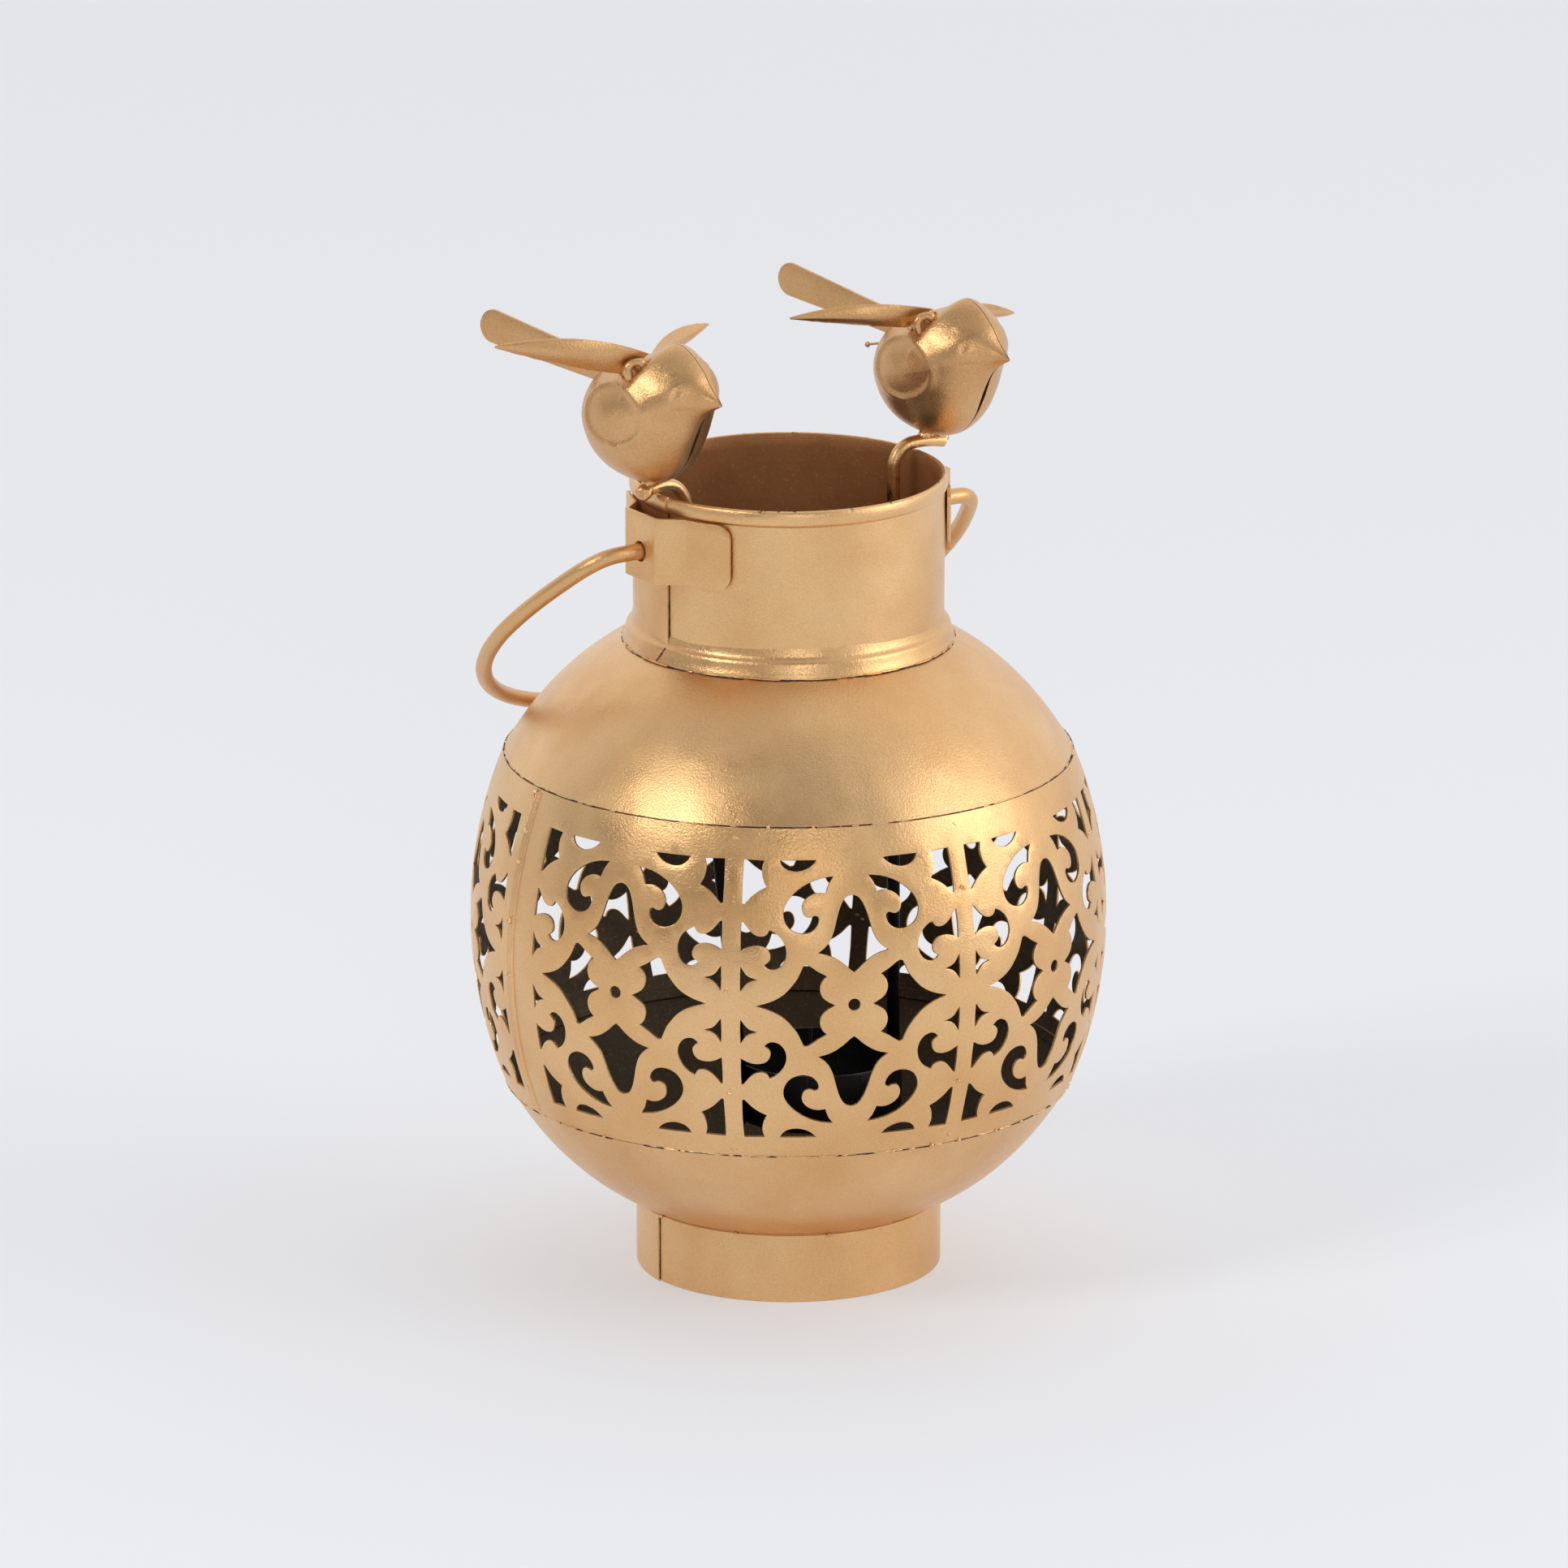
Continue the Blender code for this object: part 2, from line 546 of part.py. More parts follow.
def bird_half(side, skin):
    """Rings of one stamped half, from the seam's outline out to the flank's pole."""
    rings = []
    for step in range(DOME_STEPS):
        angle = math.pi / 2 * step / DOME_STEPS
        ring = []
        for index, (forward, up) in enumerate(BIRD_OUTLINE):
            reach = math.hypot(forward, up)
            scale = (reach - skin) / reach * math.cos(angle)
            bulge = math.sin(angle)
            pinch = BEAK_INDICES.get(index, 0.0)
            bulge += pinch * ((1.0 - math.cos(angle)) ** 1.1 - bulge)
            depth = SEAM_GAP + (BIRD_HALF_WIDTH - SEAM_GAP - skin) * bulge
            ring.append((forward * scale, side * depth, up * scale))
        rings.append(ring)
    rings.append([(0.0, side * (BIRD_HALF_WIDTH - skin), 0.0)])
    return rings


def add_bird_half(name, side, parent):
    points = []
    faces = []
    count = len(BIRD_OUTLINE)
    starts = []
    for skin in (0.0, BIRD_SKIN):
        starts.append(len(points))
        first = len(points)
        for ring in bird_half(side, skin):
            points += ring
        for step in range(DOME_STEPS):
            low = first + step * count
            for index in range(count):
                following = (index + 1) % count
                if step == DOME_STEPS - 1:
                    faces.append([low + index, low + following, low + count])
                else:
                    faces.append([low + index, low + following, low + count + following,
                                  low + count + index])
    outer, inner = starts
    for index in range(count):
        following = (index + 1) % count
        faces.append([outer + index, outer + following, inner + following, inner + index])
    add_piece(name, points, faces, parent=parent)


def wing_edge(root, middle, tip, share):
    """Point of the parabola through three points, at a share of the wing's span."""
    weights = ((1 - share) * (1 - 2 * share), 4 * share * (1 - share), share * (2 * share - 1))
    return sum((Vector(point) * weight for point, weight in zip((root, middle, tip), weights)),
               Vector())


def add_wing(name, parent):
    """Cupped leaf between the wing's two edges, which meet near its tip."""
    lead_root, lead_middle, trail_root, trail_middle, tip = WINGS[name]
    outward = 1 if tip[1] > 0 else -1
    front = []
    back = []
    for index in range(WING_STEPS + 1):
        share = WING_REACH * index / WING_STEPS
        lead = wing_edge(lead_root, lead_middle, tip, share)
        trail = wing_edge(trail_root, trail_middle, tip, share)
        ahead = wing_edge(lead_root, lead_middle, tip, share + WING_PROBE) - lead
        normal = ahead.cross(trail - lead).normalized() * -outward
        front_row = []
        back_row = []
        for chord in WING_CHORDS:
            cup = WING_CUP * math.sin(math.pi * chord) * math.sin(math.pi * share)
            place = lead.lerp(trail, chord) + normal * cup
            front_row.append(place)
            back_row.append(place + normal * WING_THICKNESS)
        front.append(front_row)
        back.append(back_row)
    add_sheet(name, front, back, parent=parent)


def add_tail(name, parent):
    """Flat blade in the bird's plane of symmetry, with a round end."""
    outline = list(TAIL_ROOT)
    for step in range(9):
        angle = math.radians(90 + 22.5 * step) - TAIL_SLOPE
        outline.append((TAIL_END[0] + TAIL_END_RADIUS * math.cos(angle),
                        TAIL_END[1] + TAIL_END_RADIUS * math.sin(angle)))
    count = len(outline)
    points = [(x, TAIL_HALF_THICKNESS, z) for x, z in outline]
    points += [(x, -TAIL_HALF_THICKNESS, z) for x, z in outline]
    faces = [list(range(count)), list(range(count, 2 * count))]
    for index in range(count):
        following = (index + 1) % count
        faces.append([index, following, count + following, count + index])
    add_piece(name, points, faces, parent=parent)


def add_bird(prefix, centre, yaw, holder):
    body = add_empty(prefix + "_frame", centre, yaw, holder)
    add_bird_half(prefix + "_body_right", -1, body)
    add_bird_half(prefix + "_body_left", 1, body)
    add_wing(prefix + "_wing_right", body)
    add_wing(prefix + "_wing_left", body)
    add_tail(prefix + "_tail", body)


def main():
    clear_scene()
    add_foot()
    add_globe_caps()
    add_pierced_panels()
    add_neck()
    add_bracket("right_bracket", 1)
    add_bracket("left_bracket", -1)
    add_handle()
    holder = add_empty("tealight_holder_frame", (0.0, 0.0, 0.0))
    add_tealight_holder(holder)
    add_bird("left_bird", LEFT_BIRD_CENTRE, LEFT_BIRD_YAW, holder)
    add_bird("right_bird", RIGHT_BIRD_CENTRE, RIGHT_BIRD_YAW, holder)


main()
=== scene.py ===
"""Looks of the pierced metal globe lantern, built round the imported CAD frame.

Every size is in metres, in the frame's own coordinates: +Z up, origin under the foot ring,
front towards -Y. Outlines that are drawn flat are in millimetres and scaled by MM.
"""
import json
import math
import random

import bmesh
import bpy
from mathutils import Matrix, Vector, noise
from mathutils.geometry import delaunay_2d_cdt


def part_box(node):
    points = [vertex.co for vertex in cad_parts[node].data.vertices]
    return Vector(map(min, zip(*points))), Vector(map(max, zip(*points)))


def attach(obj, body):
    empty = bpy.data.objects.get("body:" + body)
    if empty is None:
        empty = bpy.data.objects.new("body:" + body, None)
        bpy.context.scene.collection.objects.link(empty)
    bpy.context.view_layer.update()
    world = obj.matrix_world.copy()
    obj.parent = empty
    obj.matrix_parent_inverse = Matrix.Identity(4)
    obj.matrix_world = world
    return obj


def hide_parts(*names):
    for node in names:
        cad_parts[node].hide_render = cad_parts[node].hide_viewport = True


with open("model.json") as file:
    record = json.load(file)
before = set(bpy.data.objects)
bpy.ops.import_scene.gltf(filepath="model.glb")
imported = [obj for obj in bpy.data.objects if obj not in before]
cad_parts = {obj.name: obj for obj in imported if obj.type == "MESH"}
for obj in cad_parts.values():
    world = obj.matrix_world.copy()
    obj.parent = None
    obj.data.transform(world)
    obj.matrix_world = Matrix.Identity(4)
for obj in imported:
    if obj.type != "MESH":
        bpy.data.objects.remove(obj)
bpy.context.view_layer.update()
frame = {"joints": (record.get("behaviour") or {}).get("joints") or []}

MM = 0.001
UP = Vector((0.0, 0.0, 1.0))
SHEET = 0.9 * MM
TURN_SEGMENTS = 180
GLOBE = ("lantern", "globe_gold")              # body and slot of the globe's pieces
BIRD = ("tealight_holder", "bird_gold")        # body and slot of the birds' pieces


def top_of(node):
    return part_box(node)[1].z


def bottom_of(node):
    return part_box(node)[0].z


def radius_of(node):
    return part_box(node)[1].x


# --- Mesh helpers --------------------------------------------------------------------------

def make_piece(name, points, faces, materials, body, slot, replaces=(), sharp=38, picks=None):
    """Make one closed smooth-shaded piece. picks gives each face's material index."""
    mesh = bpy.data.meshes.new(name)
    mesh.from_pydata([Vector(point) for point in points], [], faces)
    for material in materials:
        mesh.materials.append(material)
    if picks:
        mesh.polygons.foreach_set("material_index", picks)
    shape = bmesh.new()
    shape.from_mesh(mesh)
    bmesh.ops.recalc_face_normals(shape, faces=shape.faces)
    shape.to_mesh(mesh)
    shape.free()
    mesh.shade_smooth()
    mesh.set_sharp_from_angle(angle=math.radians(sharp))
    piece = bpy.data.objects.new(name, mesh)
    bpy.context.scene.collection.objects.link(piece)
    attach(piece, body)
    if replaces:
        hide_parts(*replaces)
    return piece


def curve_points(corners, steps):
    """Catmull-Rom points from the second to the third of four corners, without the third."""
    path = []
    for step in range(steps):
        t = step / steps
        path.append(tuple(
            0.5 * (2 * b + (c - a) * t + (2 * a - 5 * b + 4 * c - d) * t ** 2
                   + (3 * b - 3 * c + d - a) * t ** 3)
            for a, b, c, d in zip(*corners)))
    return path


def smooth_run(points, steps):
    """Smooth curve through points, without its last point."""
    padded = [points[0], *points, points[-1]]
    path = []
    for corners in zip(padded, padded[1:], padded[2:], padded[3:]):
        path += curve_points(corners, steps)
    return path


def smooth_loop(points, steps):
    """Closed smooth curve through points."""
    count = len(points)
    path = []
    for index in range(count):
        path += curve_points([points[(index + k) % count] for k in (-1, 0, 1, 2)], steps)
    return path


def turned(radius, angle, height):
    """Point at a radius, an angle from +X and a height."""
    return Vector((radius * math.cos(angle), radius * math.sin(angle), height))


def joined(parts):
    """One list of points and one of faces from several meshes' lists."""
    points = []
    faces = []
    for part_points, part_faces in parts:
        faces += [[index + len(points) for index in face] for face in part_faces]
        points += part_points
    return points, faces


def tube_faces(rings, sides):
    """Faces of a closed tube made of rings of points."""
    faces = []
    for ring in range(rings - 1):
        for corner in range(sides):
            following = (corner + 1) % sides
            faces.append([ring * sides + corner, ring * sides + following,
                          (ring + 1) * sides + following, (ring + 1) * sides + corner])
    faces.append(list(range(sides)))
    faces.append(list(range((rings - 1) * sides, rings * sides)))
    return faces


def sheet_faces(rows, columns, offset):
    """Faces of a thin sheet: two grids of cells, offset points apart, and the wall between."""
    width = columns + 1
    faces = []
    for row in range(rows):
        for column in range(columns):
            low = row * width + column
            quad = [low, low + 1, low + width + 1, low + width]
            faces.append(quad)
            faces.append([index + offset for index in reversed(quad)])
    rim = list(range(width)) + [row * width + columns for row in range(1, rows + 1)]
    rim += [rows * width + column for column in range(columns - 1, -1, -1)]
    rim += [row * width for row in range(rows - 1, 0, -1)]
    return faces + [[start, end, end + offset, start + offset]
                    for start, end in zip(rim, rim[1:] + rim[:1])]


def rippled(point, size, amount, seed=0.0):
    """Small smooth displacement value at a point, for hand-worked sheet."""
    return amount * noise.noise(Vector(point) / size + Vector((seed, seed * 1.7, -seed)))


# --- Materials -----------------------------------------------------------------------------

class Nodes:
    """Short way to wire one node material."""

    def __init__(self, name):
        self.material = bpy.data.materials.new(name)
        self.material.use_nodes = True
        self.tree = self.material.node_tree
        self.shader = self.tree.nodes["Principled BSDF"]
        self.place = self.add("ShaderNodeTexCoord").outputs["Object"]

    def add(self, kind, **values):
        node = self.tree.nodes.new(kind)
        for key, value in values.items():
            if hasattr(node, key):
                setattr(node, key, value)
            else:
                node.inputs[key.replace("_", " ")].default_value = value
        return node

    def link(self, source, target):
        self.tree.links.new(source, target)

    def noise(self, scale, detail=2.0, roughness=0.5):
        node = self.add("ShaderNodeTexNoise", Scale=scale, Detail=detail, Roughness=roughness)
        self.link(self.place, node.inputs["Vector"])
        return node.outputs["Fac"]

    def cells(self, scale):
        node = self.add("ShaderNodeTexVoronoi", Scale=scale)
        self.link(self.place, node.inputs["Vector"])
        return node.outputs["Color"]

    def ramp(self, source, low, high, dark=0.0, bright=1.0):
        node = self.add("ShaderNodeMapRange")
        node.inputs["From Min"].default_value = low
        node.inputs["From Max"].default_value = high
        node.inputs["To Min"].default_value = dark
        node.inputs["To Max"].default_value = bright
        self.link(source, node.inputs["Value"])
        return node.outputs["Result"]

    def math(self, operation, first, second):
        node = self.add("ShaderNodeMath", operation=operation)
        for socket, value in zip(node.inputs, (first, second)):
            if isinstance(value, (int, float)):
                socket.default_value = value
            else:
                self.link(value, socket)
        return node.outputs["Value"]

    def mix(self, share, first, second, blend="MIX"):
        node = self.add("ShaderNodeMix", data_type="RGBA", blend_type=blend)
        sockets = [socket for socket in node.inputs if socket.enabled]
        for socket, value in zip(sockets, (share, first, second)):
            if isinstance(value, tuple):
                socket.default_value = (*value, 1.0)
            elif isinstance(value, (int, float)):
                socket.default_value = value
            else:
                self.link(value, socket)
        return [socket for socket in node.outputs if socket.enabled][0]

    def bump(self, height, distance, strength=1.0, after=None):
        node = self.add("ShaderNodeBump", Strength=strength, Distance=distance)
        self.link(height, node.inputs["Height"])
        if after:
            self.link(after, node.inputs["Normal"])
        return node.outputs["Normal"]

    def height(self):
        split = self.add("ShaderNodeSeparateXYZ")
        self.link(self.place, split.inputs["Vector"])
        return split.outputs["Z"]


def gold_paint(name, base=(0.83, 0.53, 0.26), deep=(0.74, 0.43, 0.185), rough=0.31,
               flake=0.5, chips=None, black_below=None, metallic=0.92):
    """Satin metallic gold paint with fine flake, slight orange peel and a little grime."""
    n = Nodes(name)
    colour = n.mix(n.ramp(n.noise(28.0, 3.0), 0.35, 0.7), base, deep)
    speck = n.add("ShaderNodeSeparateColor")
    n.link(n.cells(4200.0), speck.inputs["Color"])
    glint = n.ramp(speck.outputs["Red"], 0.0, 1.0, 1.0 - 0.16 * flake, 1.0 + 0.16 * flake)
    colour = n.mix(1.0, colour, glint, "MULTIPLY")
    pits = n.ramp(n.noise(760.0, 1.0), 0.80, 0.84)
    colour = n.mix(n.math("MULTIPLY", pits, 0.3), colour, (0.16, 0.08, 0.035))
    roughness = n.ramp(n.noise(90.0, 3.0), 0.3, 0.7, rough - 0.05, rough + 0.07)
    if chips:
        low, high = chips
        near = n.math("MULTIPLY", n.ramp(n.height(), low, high), n.ramp(n.noise(330.0, 4.0, 0.7),
                                                                      0.60, 0.66))
        colour = n.mix(near, colour, (0.035, 0.022, 0.014))
        roughness = n.math("ADD", roughness, n.math("MULTIPLY", near, 0.2))
    if black_below:
        low, high = black_below
        wander = n.math("MULTIPLY", n.math("SUBTRACT", n.noise(260.0, 5.0, 0.7), 0.5), 0.06)
        black = n.ramp(n.math("ADD", n.height(), wander), high, low)
        colour = n.mix(black, colour, (0.018, 0.015, 0.013))
    n.link(colour, n.shader.inputs["Base Color"])
    n.link(roughness, n.shader.inputs["Roughness"])
    n.shader.inputs["Metallic"].default_value = metallic
    dents = n.bump(n.noise(55.0, 1.0), 0.0011, 0.5)
    peel = n.bump(n.noise(1500.0, 3.0, 0.6), 0.00014, 0.8, dents)
    flakes = n.bump(speck.outputs["Green"], 0.000012 * flake + 0.000006, 0.6, peel)
    n.link(flakes, n.shader.inputs["Normal"])
    return n.material


def inner_paint(name, base, spray):
    """The paint inside the globe: a dark dusty coat with gold overspray. The globe's copy also
    goes on the birds' inner skins, where it is painted shade in the gaps of their seams.
    """
    n = Nodes(name)
    dust = n.ramp(n.noise(900.0, 4.0, 0.7), 0.56, 0.72)
    cloud = n.ramp(n.noise(35.0, 2.0), 0.3, 0.75, 0.25, 1.0)
    colour = n.mix(n.math("MULTIPLY", dust, cloud), base, spray)
    n.link(colour, n.shader.inputs["Base Color"])
    n.link(n.ramp(n.noise(120.0), 0.3, 0.7, 0.42, 0.6), n.shader.inputs["Roughness"])
    n.shader.inputs["Metallic"].default_value = 0.55
    n.link(n.bump(n.noise(700.0, 3.0), 0.00012, 0.8), n.shader.inputs["Normal"])
    return n.material


def black_paint(name):
    """Satin black coat of the cup, with light scratches and dust. The same coat is the painted
    shade of the dark lines at open gaps.
    """
    n = Nodes(name)
    stretch = n.add("ShaderNodeMapping")
    stretch.inputs["Scale"].default_value = (1.0, 1.0, 0.06)
    n.link(n.place, stretch.inputs["Vector"])
    lines = n.add("ShaderNodeTexNoise", Scale=900.0, Detail=3.0)
    n.link(stretch.outputs["Vector"], lines.inputs["Vector"])
    scratch = n.ramp(lines.outputs["Fac"], 0.64, 0.70)
    colour = n.mix(scratch, (0.012, 0.011, 0.011), (0.10, 0.09, 0.08))
    colour = n.mix(n.ramp(n.noise(500.0, 4.0, 0.7), 0.62, 0.75), colour, (0.06, 0.05, 0.045))
    n.link(colour, n.shader.inputs["Base Color"])
    n.link(n.ramp(n.noise(160.0), 0.3, 0.7, 0.26, 0.44), n.shader.inputs["Roughness"])
    n.shader.inputs["Metallic"].default_value = 0.2
    n.link(n.bump(n.noise(480.0, 3.0), 0.0001, 0.7), n.shader.inputs["Normal"])
    return n.material


GOLD = gold_paint("globe_gold_paint")
NECK_GOLD = gold_paint("neck_gold_paint", chips=(top_of("neck_collar") - 0.0011,
                                                top_of("neck_collar") - 0.0002))
BRACKET_GOLD = gold_paint("bracket_gold_paint", rough=0.36)
WIRE_GOLD = gold_paint("handle_gold_paint", base=(0.72, 0.435, 0.20), rough=0.34)
BIRD_GOLD = gold_paint("bird_gold_paint", base=(0.71, 0.425, 0.20), deep=(0.60, 0.335, 0.14),
                       flake=0.8)
POST_PAINT = gold_paint("post_paint", rough=0.3, black_below=(0.232, 0.246))
WELD_GOLD = gold_paint("weld_gold_paint", base=(0.85, 0.56, 0.29), rough=0.28)
# The globe's inside coat; on the birds' inner skins the same material is painted shade.
GLOBE_INSIDE_AND_BIRD_SHADE = inner_paint("globe_inside_paint_and_bird_shade", (0.12, 0.083, 0.048), (0.42, 0.27, 0.13))
NECK_INSIDE = inner_paint("neck_inside_paint", (0.42, 0.19, 0.070), (0.70, 0.40, 0.17))
CUP_BLACK = black_paint("cup_black_paint")
# Dark paint of the thin tubes that stand in for the shadow in open joints: painted shade.
SEAM_GAP_SHADE = black_paint("seam_gap_painted_shade")


# --- Turned sheet pieces -------------------------------------------------------------------

def turn_angles(seam):
    """Even angles round the axis, with closer ones at a lapped seam."""
    angles = {2 * math.pi * segment / TURN_SEGMENTS for segment in range(TURN_SEGMENTS)}
    if seam is not None:
        angles |= {(seam + math.radians(0.11 * step)) % (2 * math.pi) for step in range(-9, 10)}
    return sorted(angles)


def turned_piece(name, loop, material, body, slot, inside=None, inner_from=None, bend=None,
                 centre=(0.0, 0.0), seam=None):
    """Turn a closed loop of (radius, height). From point inner_from on, faces are the inside.

    bend(angle, radius, height) gives a small change of radius.
    """
    points = []
    faces = []
    picks = []
    count = len(loop)
    angles = turn_angles(seam)
    turns = len(angles)
    for angle in angles:
        for radius, height in loop:
            reach = radius
            if bend and radius > 0.001:
                reach += bend(angle, radius, height)
            points.append((centre[0] + reach * math.cos(angle),
                           centre[1] + reach * math.sin(angle), height))
    for segment in range(turns):
        here = segment * count
        there = (segment + 1) % turns * count
        for index in range(count):
            following = (index + 1) % count
            faces.append([here + index, there + index, there + following, here + following])
            inner = inner_from is not None and inner_from <= index < count - 1
            picks.append(1 if inner else 0)
    materials = [material, inside] if inside else [material]
    return make_piece(name, points, faces, materials, body, slot, [name.replace("_fine", "")],
                      picks=picks if inside else None)


def lap(angle, seam, height, width):
    """Step of a rolled strip's overlapped end: full at the seam, fading away round the strip."""
    turn = (seam - angle + math.radians(0.05)) % (2 * math.pi)
    return height * max(0.0, 1.0 - turn / width)


def crack(angle, seam, depth):
    """Narrow open line just past a lapped seam."""
    turn = (angle - seam + math.pi) % (2 * math.pi) - math.pi
    return -depth * math.exp(-((turn - math.radians(0.3)) / math.radians(0.2)) ** 2)


GLOBE_Z = 0.112                       # height of the globe's widest circle
COLLAR_RADIUS = 0.0481
SKIRT_RADIUS = 0.0514                 # foot of the neck's skirt
BAND_RADIUS = 0.0983
BAND_BULGE = 0.1352                   # radius of the band's upright curve
CAP_ARC = 0.0838                      # radius of the caps' upright curve, and its centre
CAP_INSET = 0.0122
CAP_SHIFT = 0.01385
BAND_EDGE_RISE = 0.0519
NECK_SEAM = math.radians(-90.0 - 49.5)      # angles of the strips' lapped ends from +X
FOOT_SEAM = math.radians(-90.0 - 57.5)
SEAM_TURN = math.radians(-60.3)             # band's lapped seam, from the front towards +X


def band_reach(rise, depth):
    """Radius of the band's skin at a rise, a depth below its outer face."""
    bulge = BAND_BULGE - depth
    return BAND_RADIUS - BAND_BULGE + math.sqrt(bulge ** 2 - rise ** 2)


def cap_profile(depth, end_radius, steps):
    """Skin of a cap: a lip lapped under the band, then the arc in towards the axis."""
    lap_gap = 0.0003
    skin = [(band_reach(rise, SHEET) - lap_gap - depth, rise) for rise in (0.0490, 0.0505, 0.0516)]
    arc = CAP_ARC - depth
    start = math.asin((BAND_EDGE_RISE + 0.0004 - CAP_SHIFT) / arc)
    end = math.acos((end_radius - CAP_INSET) / arc)
    for step in range(steps + 1):
        angle = start + (end - start) * step / steps
        rise = CAP_SHIFT + arc * math.sin(angle)
        flare = 0.0009 * math.exp(-(rise - BAND_EDGE_RISE) / 0.007)
        skin.append((CAP_INSET + arc * math.cos(angle) + flare, rise))
    return skin


def make_caps():
    def dome_bend(angle, radius, height):
        place = (radius * math.cos(angle), radius * math.sin(angle), height)
        return rippled(place, 0.03, 0.00022, 3.0)

    outer = cap_profile(0.0, 0.0486, 22)
    inner = cap_profile(SHEET, 0.0486, 22)[::-1]
    loop = [(radius, GLOBE_Z + rise) for radius, rise in outer + inner]
    turned_piece("upper_dome_fine", loop, GOLD, *GLOBE, GLOBE_INSIDE_AND_BIRD_SHADE, 26, dome_bend)
    outer = cap_profile(0.0, CAP_INSET + 0.0001, 30) + [(0.0, -bottom_of("lower_bowl") + GLOBE_Z)]
    inner = cap_profile(SHEET, CAP_INSET + 0.0001, 30)
    inner.append((0.0, -bottom_of("lower_bowl") + GLOBE_Z - SHEET))
    loop = [(radius, GLOBE_Z - rise) for radius, rise in outer + inner[::-1]]
    turned_piece("lower_bowl_fine", loop, GOLD, *GLOBE, GLOBE_INSIDE_AND_BIRD_SHADE, 35, dome_bend)


def make_foot():
    seam = FOOT_SEAM
    radius = radius_of("foot_ring")
    top = top_of("foot_ring")

    def bend(angle, reach, height):
        place = (reach * math.cos(angle), reach * math.sin(angle), height)
        step = lap(angle, seam, 0.0007, 0.3) + crack(angle, seam, 0.0003)
        return step - 0.0002 + rippled(place, 0.02, 0.00012, 5.0)

    loop = [(radius, 0.0003), (radius, top * 0.5), (radius, top - 0.0003),
            (radius - 0.0004, top), (radius - SHEET, top - 0.0006), (radius - SHEET, 0.0002),
            (radius - SHEET * 0.5, 0.0)]
    turned_piece("foot_ring_fine", loop, GOLD, *GLOBE, GLOBE_INSIDE_AND_BIRD_SHADE, 4, bend, seam=seam)


def make_neck():
    top = top_of("neck_collar")
    bottom = bottom_of("neck_collar")
    outer = COLLAR_RADIUS
    inner = outer - SHEET
    hem = top - 0.0048
    seam = NECK_SEAM

    def bend(angle, reach, height):
        place = (reach * math.cos(angle), reach * math.sin(angle), height)
        wave = rippled(place, 0.024, 0.00022, 9.0)
        step = 0.0
        if reach > outer - 0.0002:
            step = lap(angle, seam, 0.0007, 0.3) + crack(angle, seam, 0.0004)
        return wave - 0.0002 + step

    loop = [(outer, bottom)]
    loop += [(outer, bottom + (hem - bottom) * step / 12) for step in range(1, 12)]
    loop += [(outer, hem - 0.0004), (outer + 0.0006, hem + 0.0001), (outer + 0.0009, hem + 0.0008),
             (outer + 0.0009, hem + 0.0024), (outer + 0.0008, top - 0.0008),
             (outer + 0.0004, top - 0.0002), (outer - 0.0001, top), (outer - 0.0006, top - 0.0002)]
    inner_start = len(loop)
    loop += [(inner, top - 0.0007), (inner, hem), (inner, bottom + 0.02), (inner, bottom)]
    turned_piece("neck_collar_fine", loop, NECK_GOLD, "lantern", "neck_gold", NECK_INSIDE,
                 inner_start - 1, bend, seam=seam)


def make_skirt():
    """Small flared ring: a foot on the dome, a flange, a ridge and a hollow up to the collar."""
    low = bottom_of("neck_skirt")
    curve = [(SKIRT_RADIUS, low + 0.0007), (SKIRT_RADIUS, low + 0.0010), (0.0509, low + 0.0020),
             (0.0504, low + 0.0036), (0.0502, low + 0.0046), (0.0500, low + 0.0053),
             (0.0496, low + 0.0058), (0.0490, low + 0.0062), (0.0485, low + 0.0072),
             (0.0482, low + 0.0088), (0.0480, low + 0.0096)]
    back = [(0.0479, low + 0.0094), (0.0479, low + 0.0042), (0.0487, low + 0.0026),
            (0.0500, low + 0.0014)]

    def bend(angle, reach, height):
        place = (reach * math.cos(angle), reach * math.sin(angle), height)
        return rippled(place, 0.016, 0.0002, 13.0) - 0.0002

    turned_piece("neck_skirt_fine", curve + back, GOLD, *GLOBE, bend=bend)


def make_cup():
    low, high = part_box("candle_cup")
    centre = ((low.x + high.x) / 2, (low.y + high.y) / 2)
    radius = (high.x - low.x) / 2
    wall = 0.0008
    loop = [(0.0, low.z), (radius - 0.0022, low.z), (radius - 0.0010, low.z + 0.0003),
            (radius - 0.0003, low.z + 0.0010), (radius, low.z + 0.0022),
            (radius, high.z - 0.0004), (radius - 0.0002, high.z), (radius - wall, high.z - 0.0001),
            (radius - wall, low.z + 0.0026), (radius - wall - 0.0008, low.z + 0.0013),
            (radius - wall - 0.0022, low.z + wall), (0.0, low.z + wall)]
    turned_piece("candle_cup_fine", loop, CUP_BLACK, "tealight_holder", "cup_black",
                 centre=centre)


# --- Pierced band --------------------------------------------------------------------------

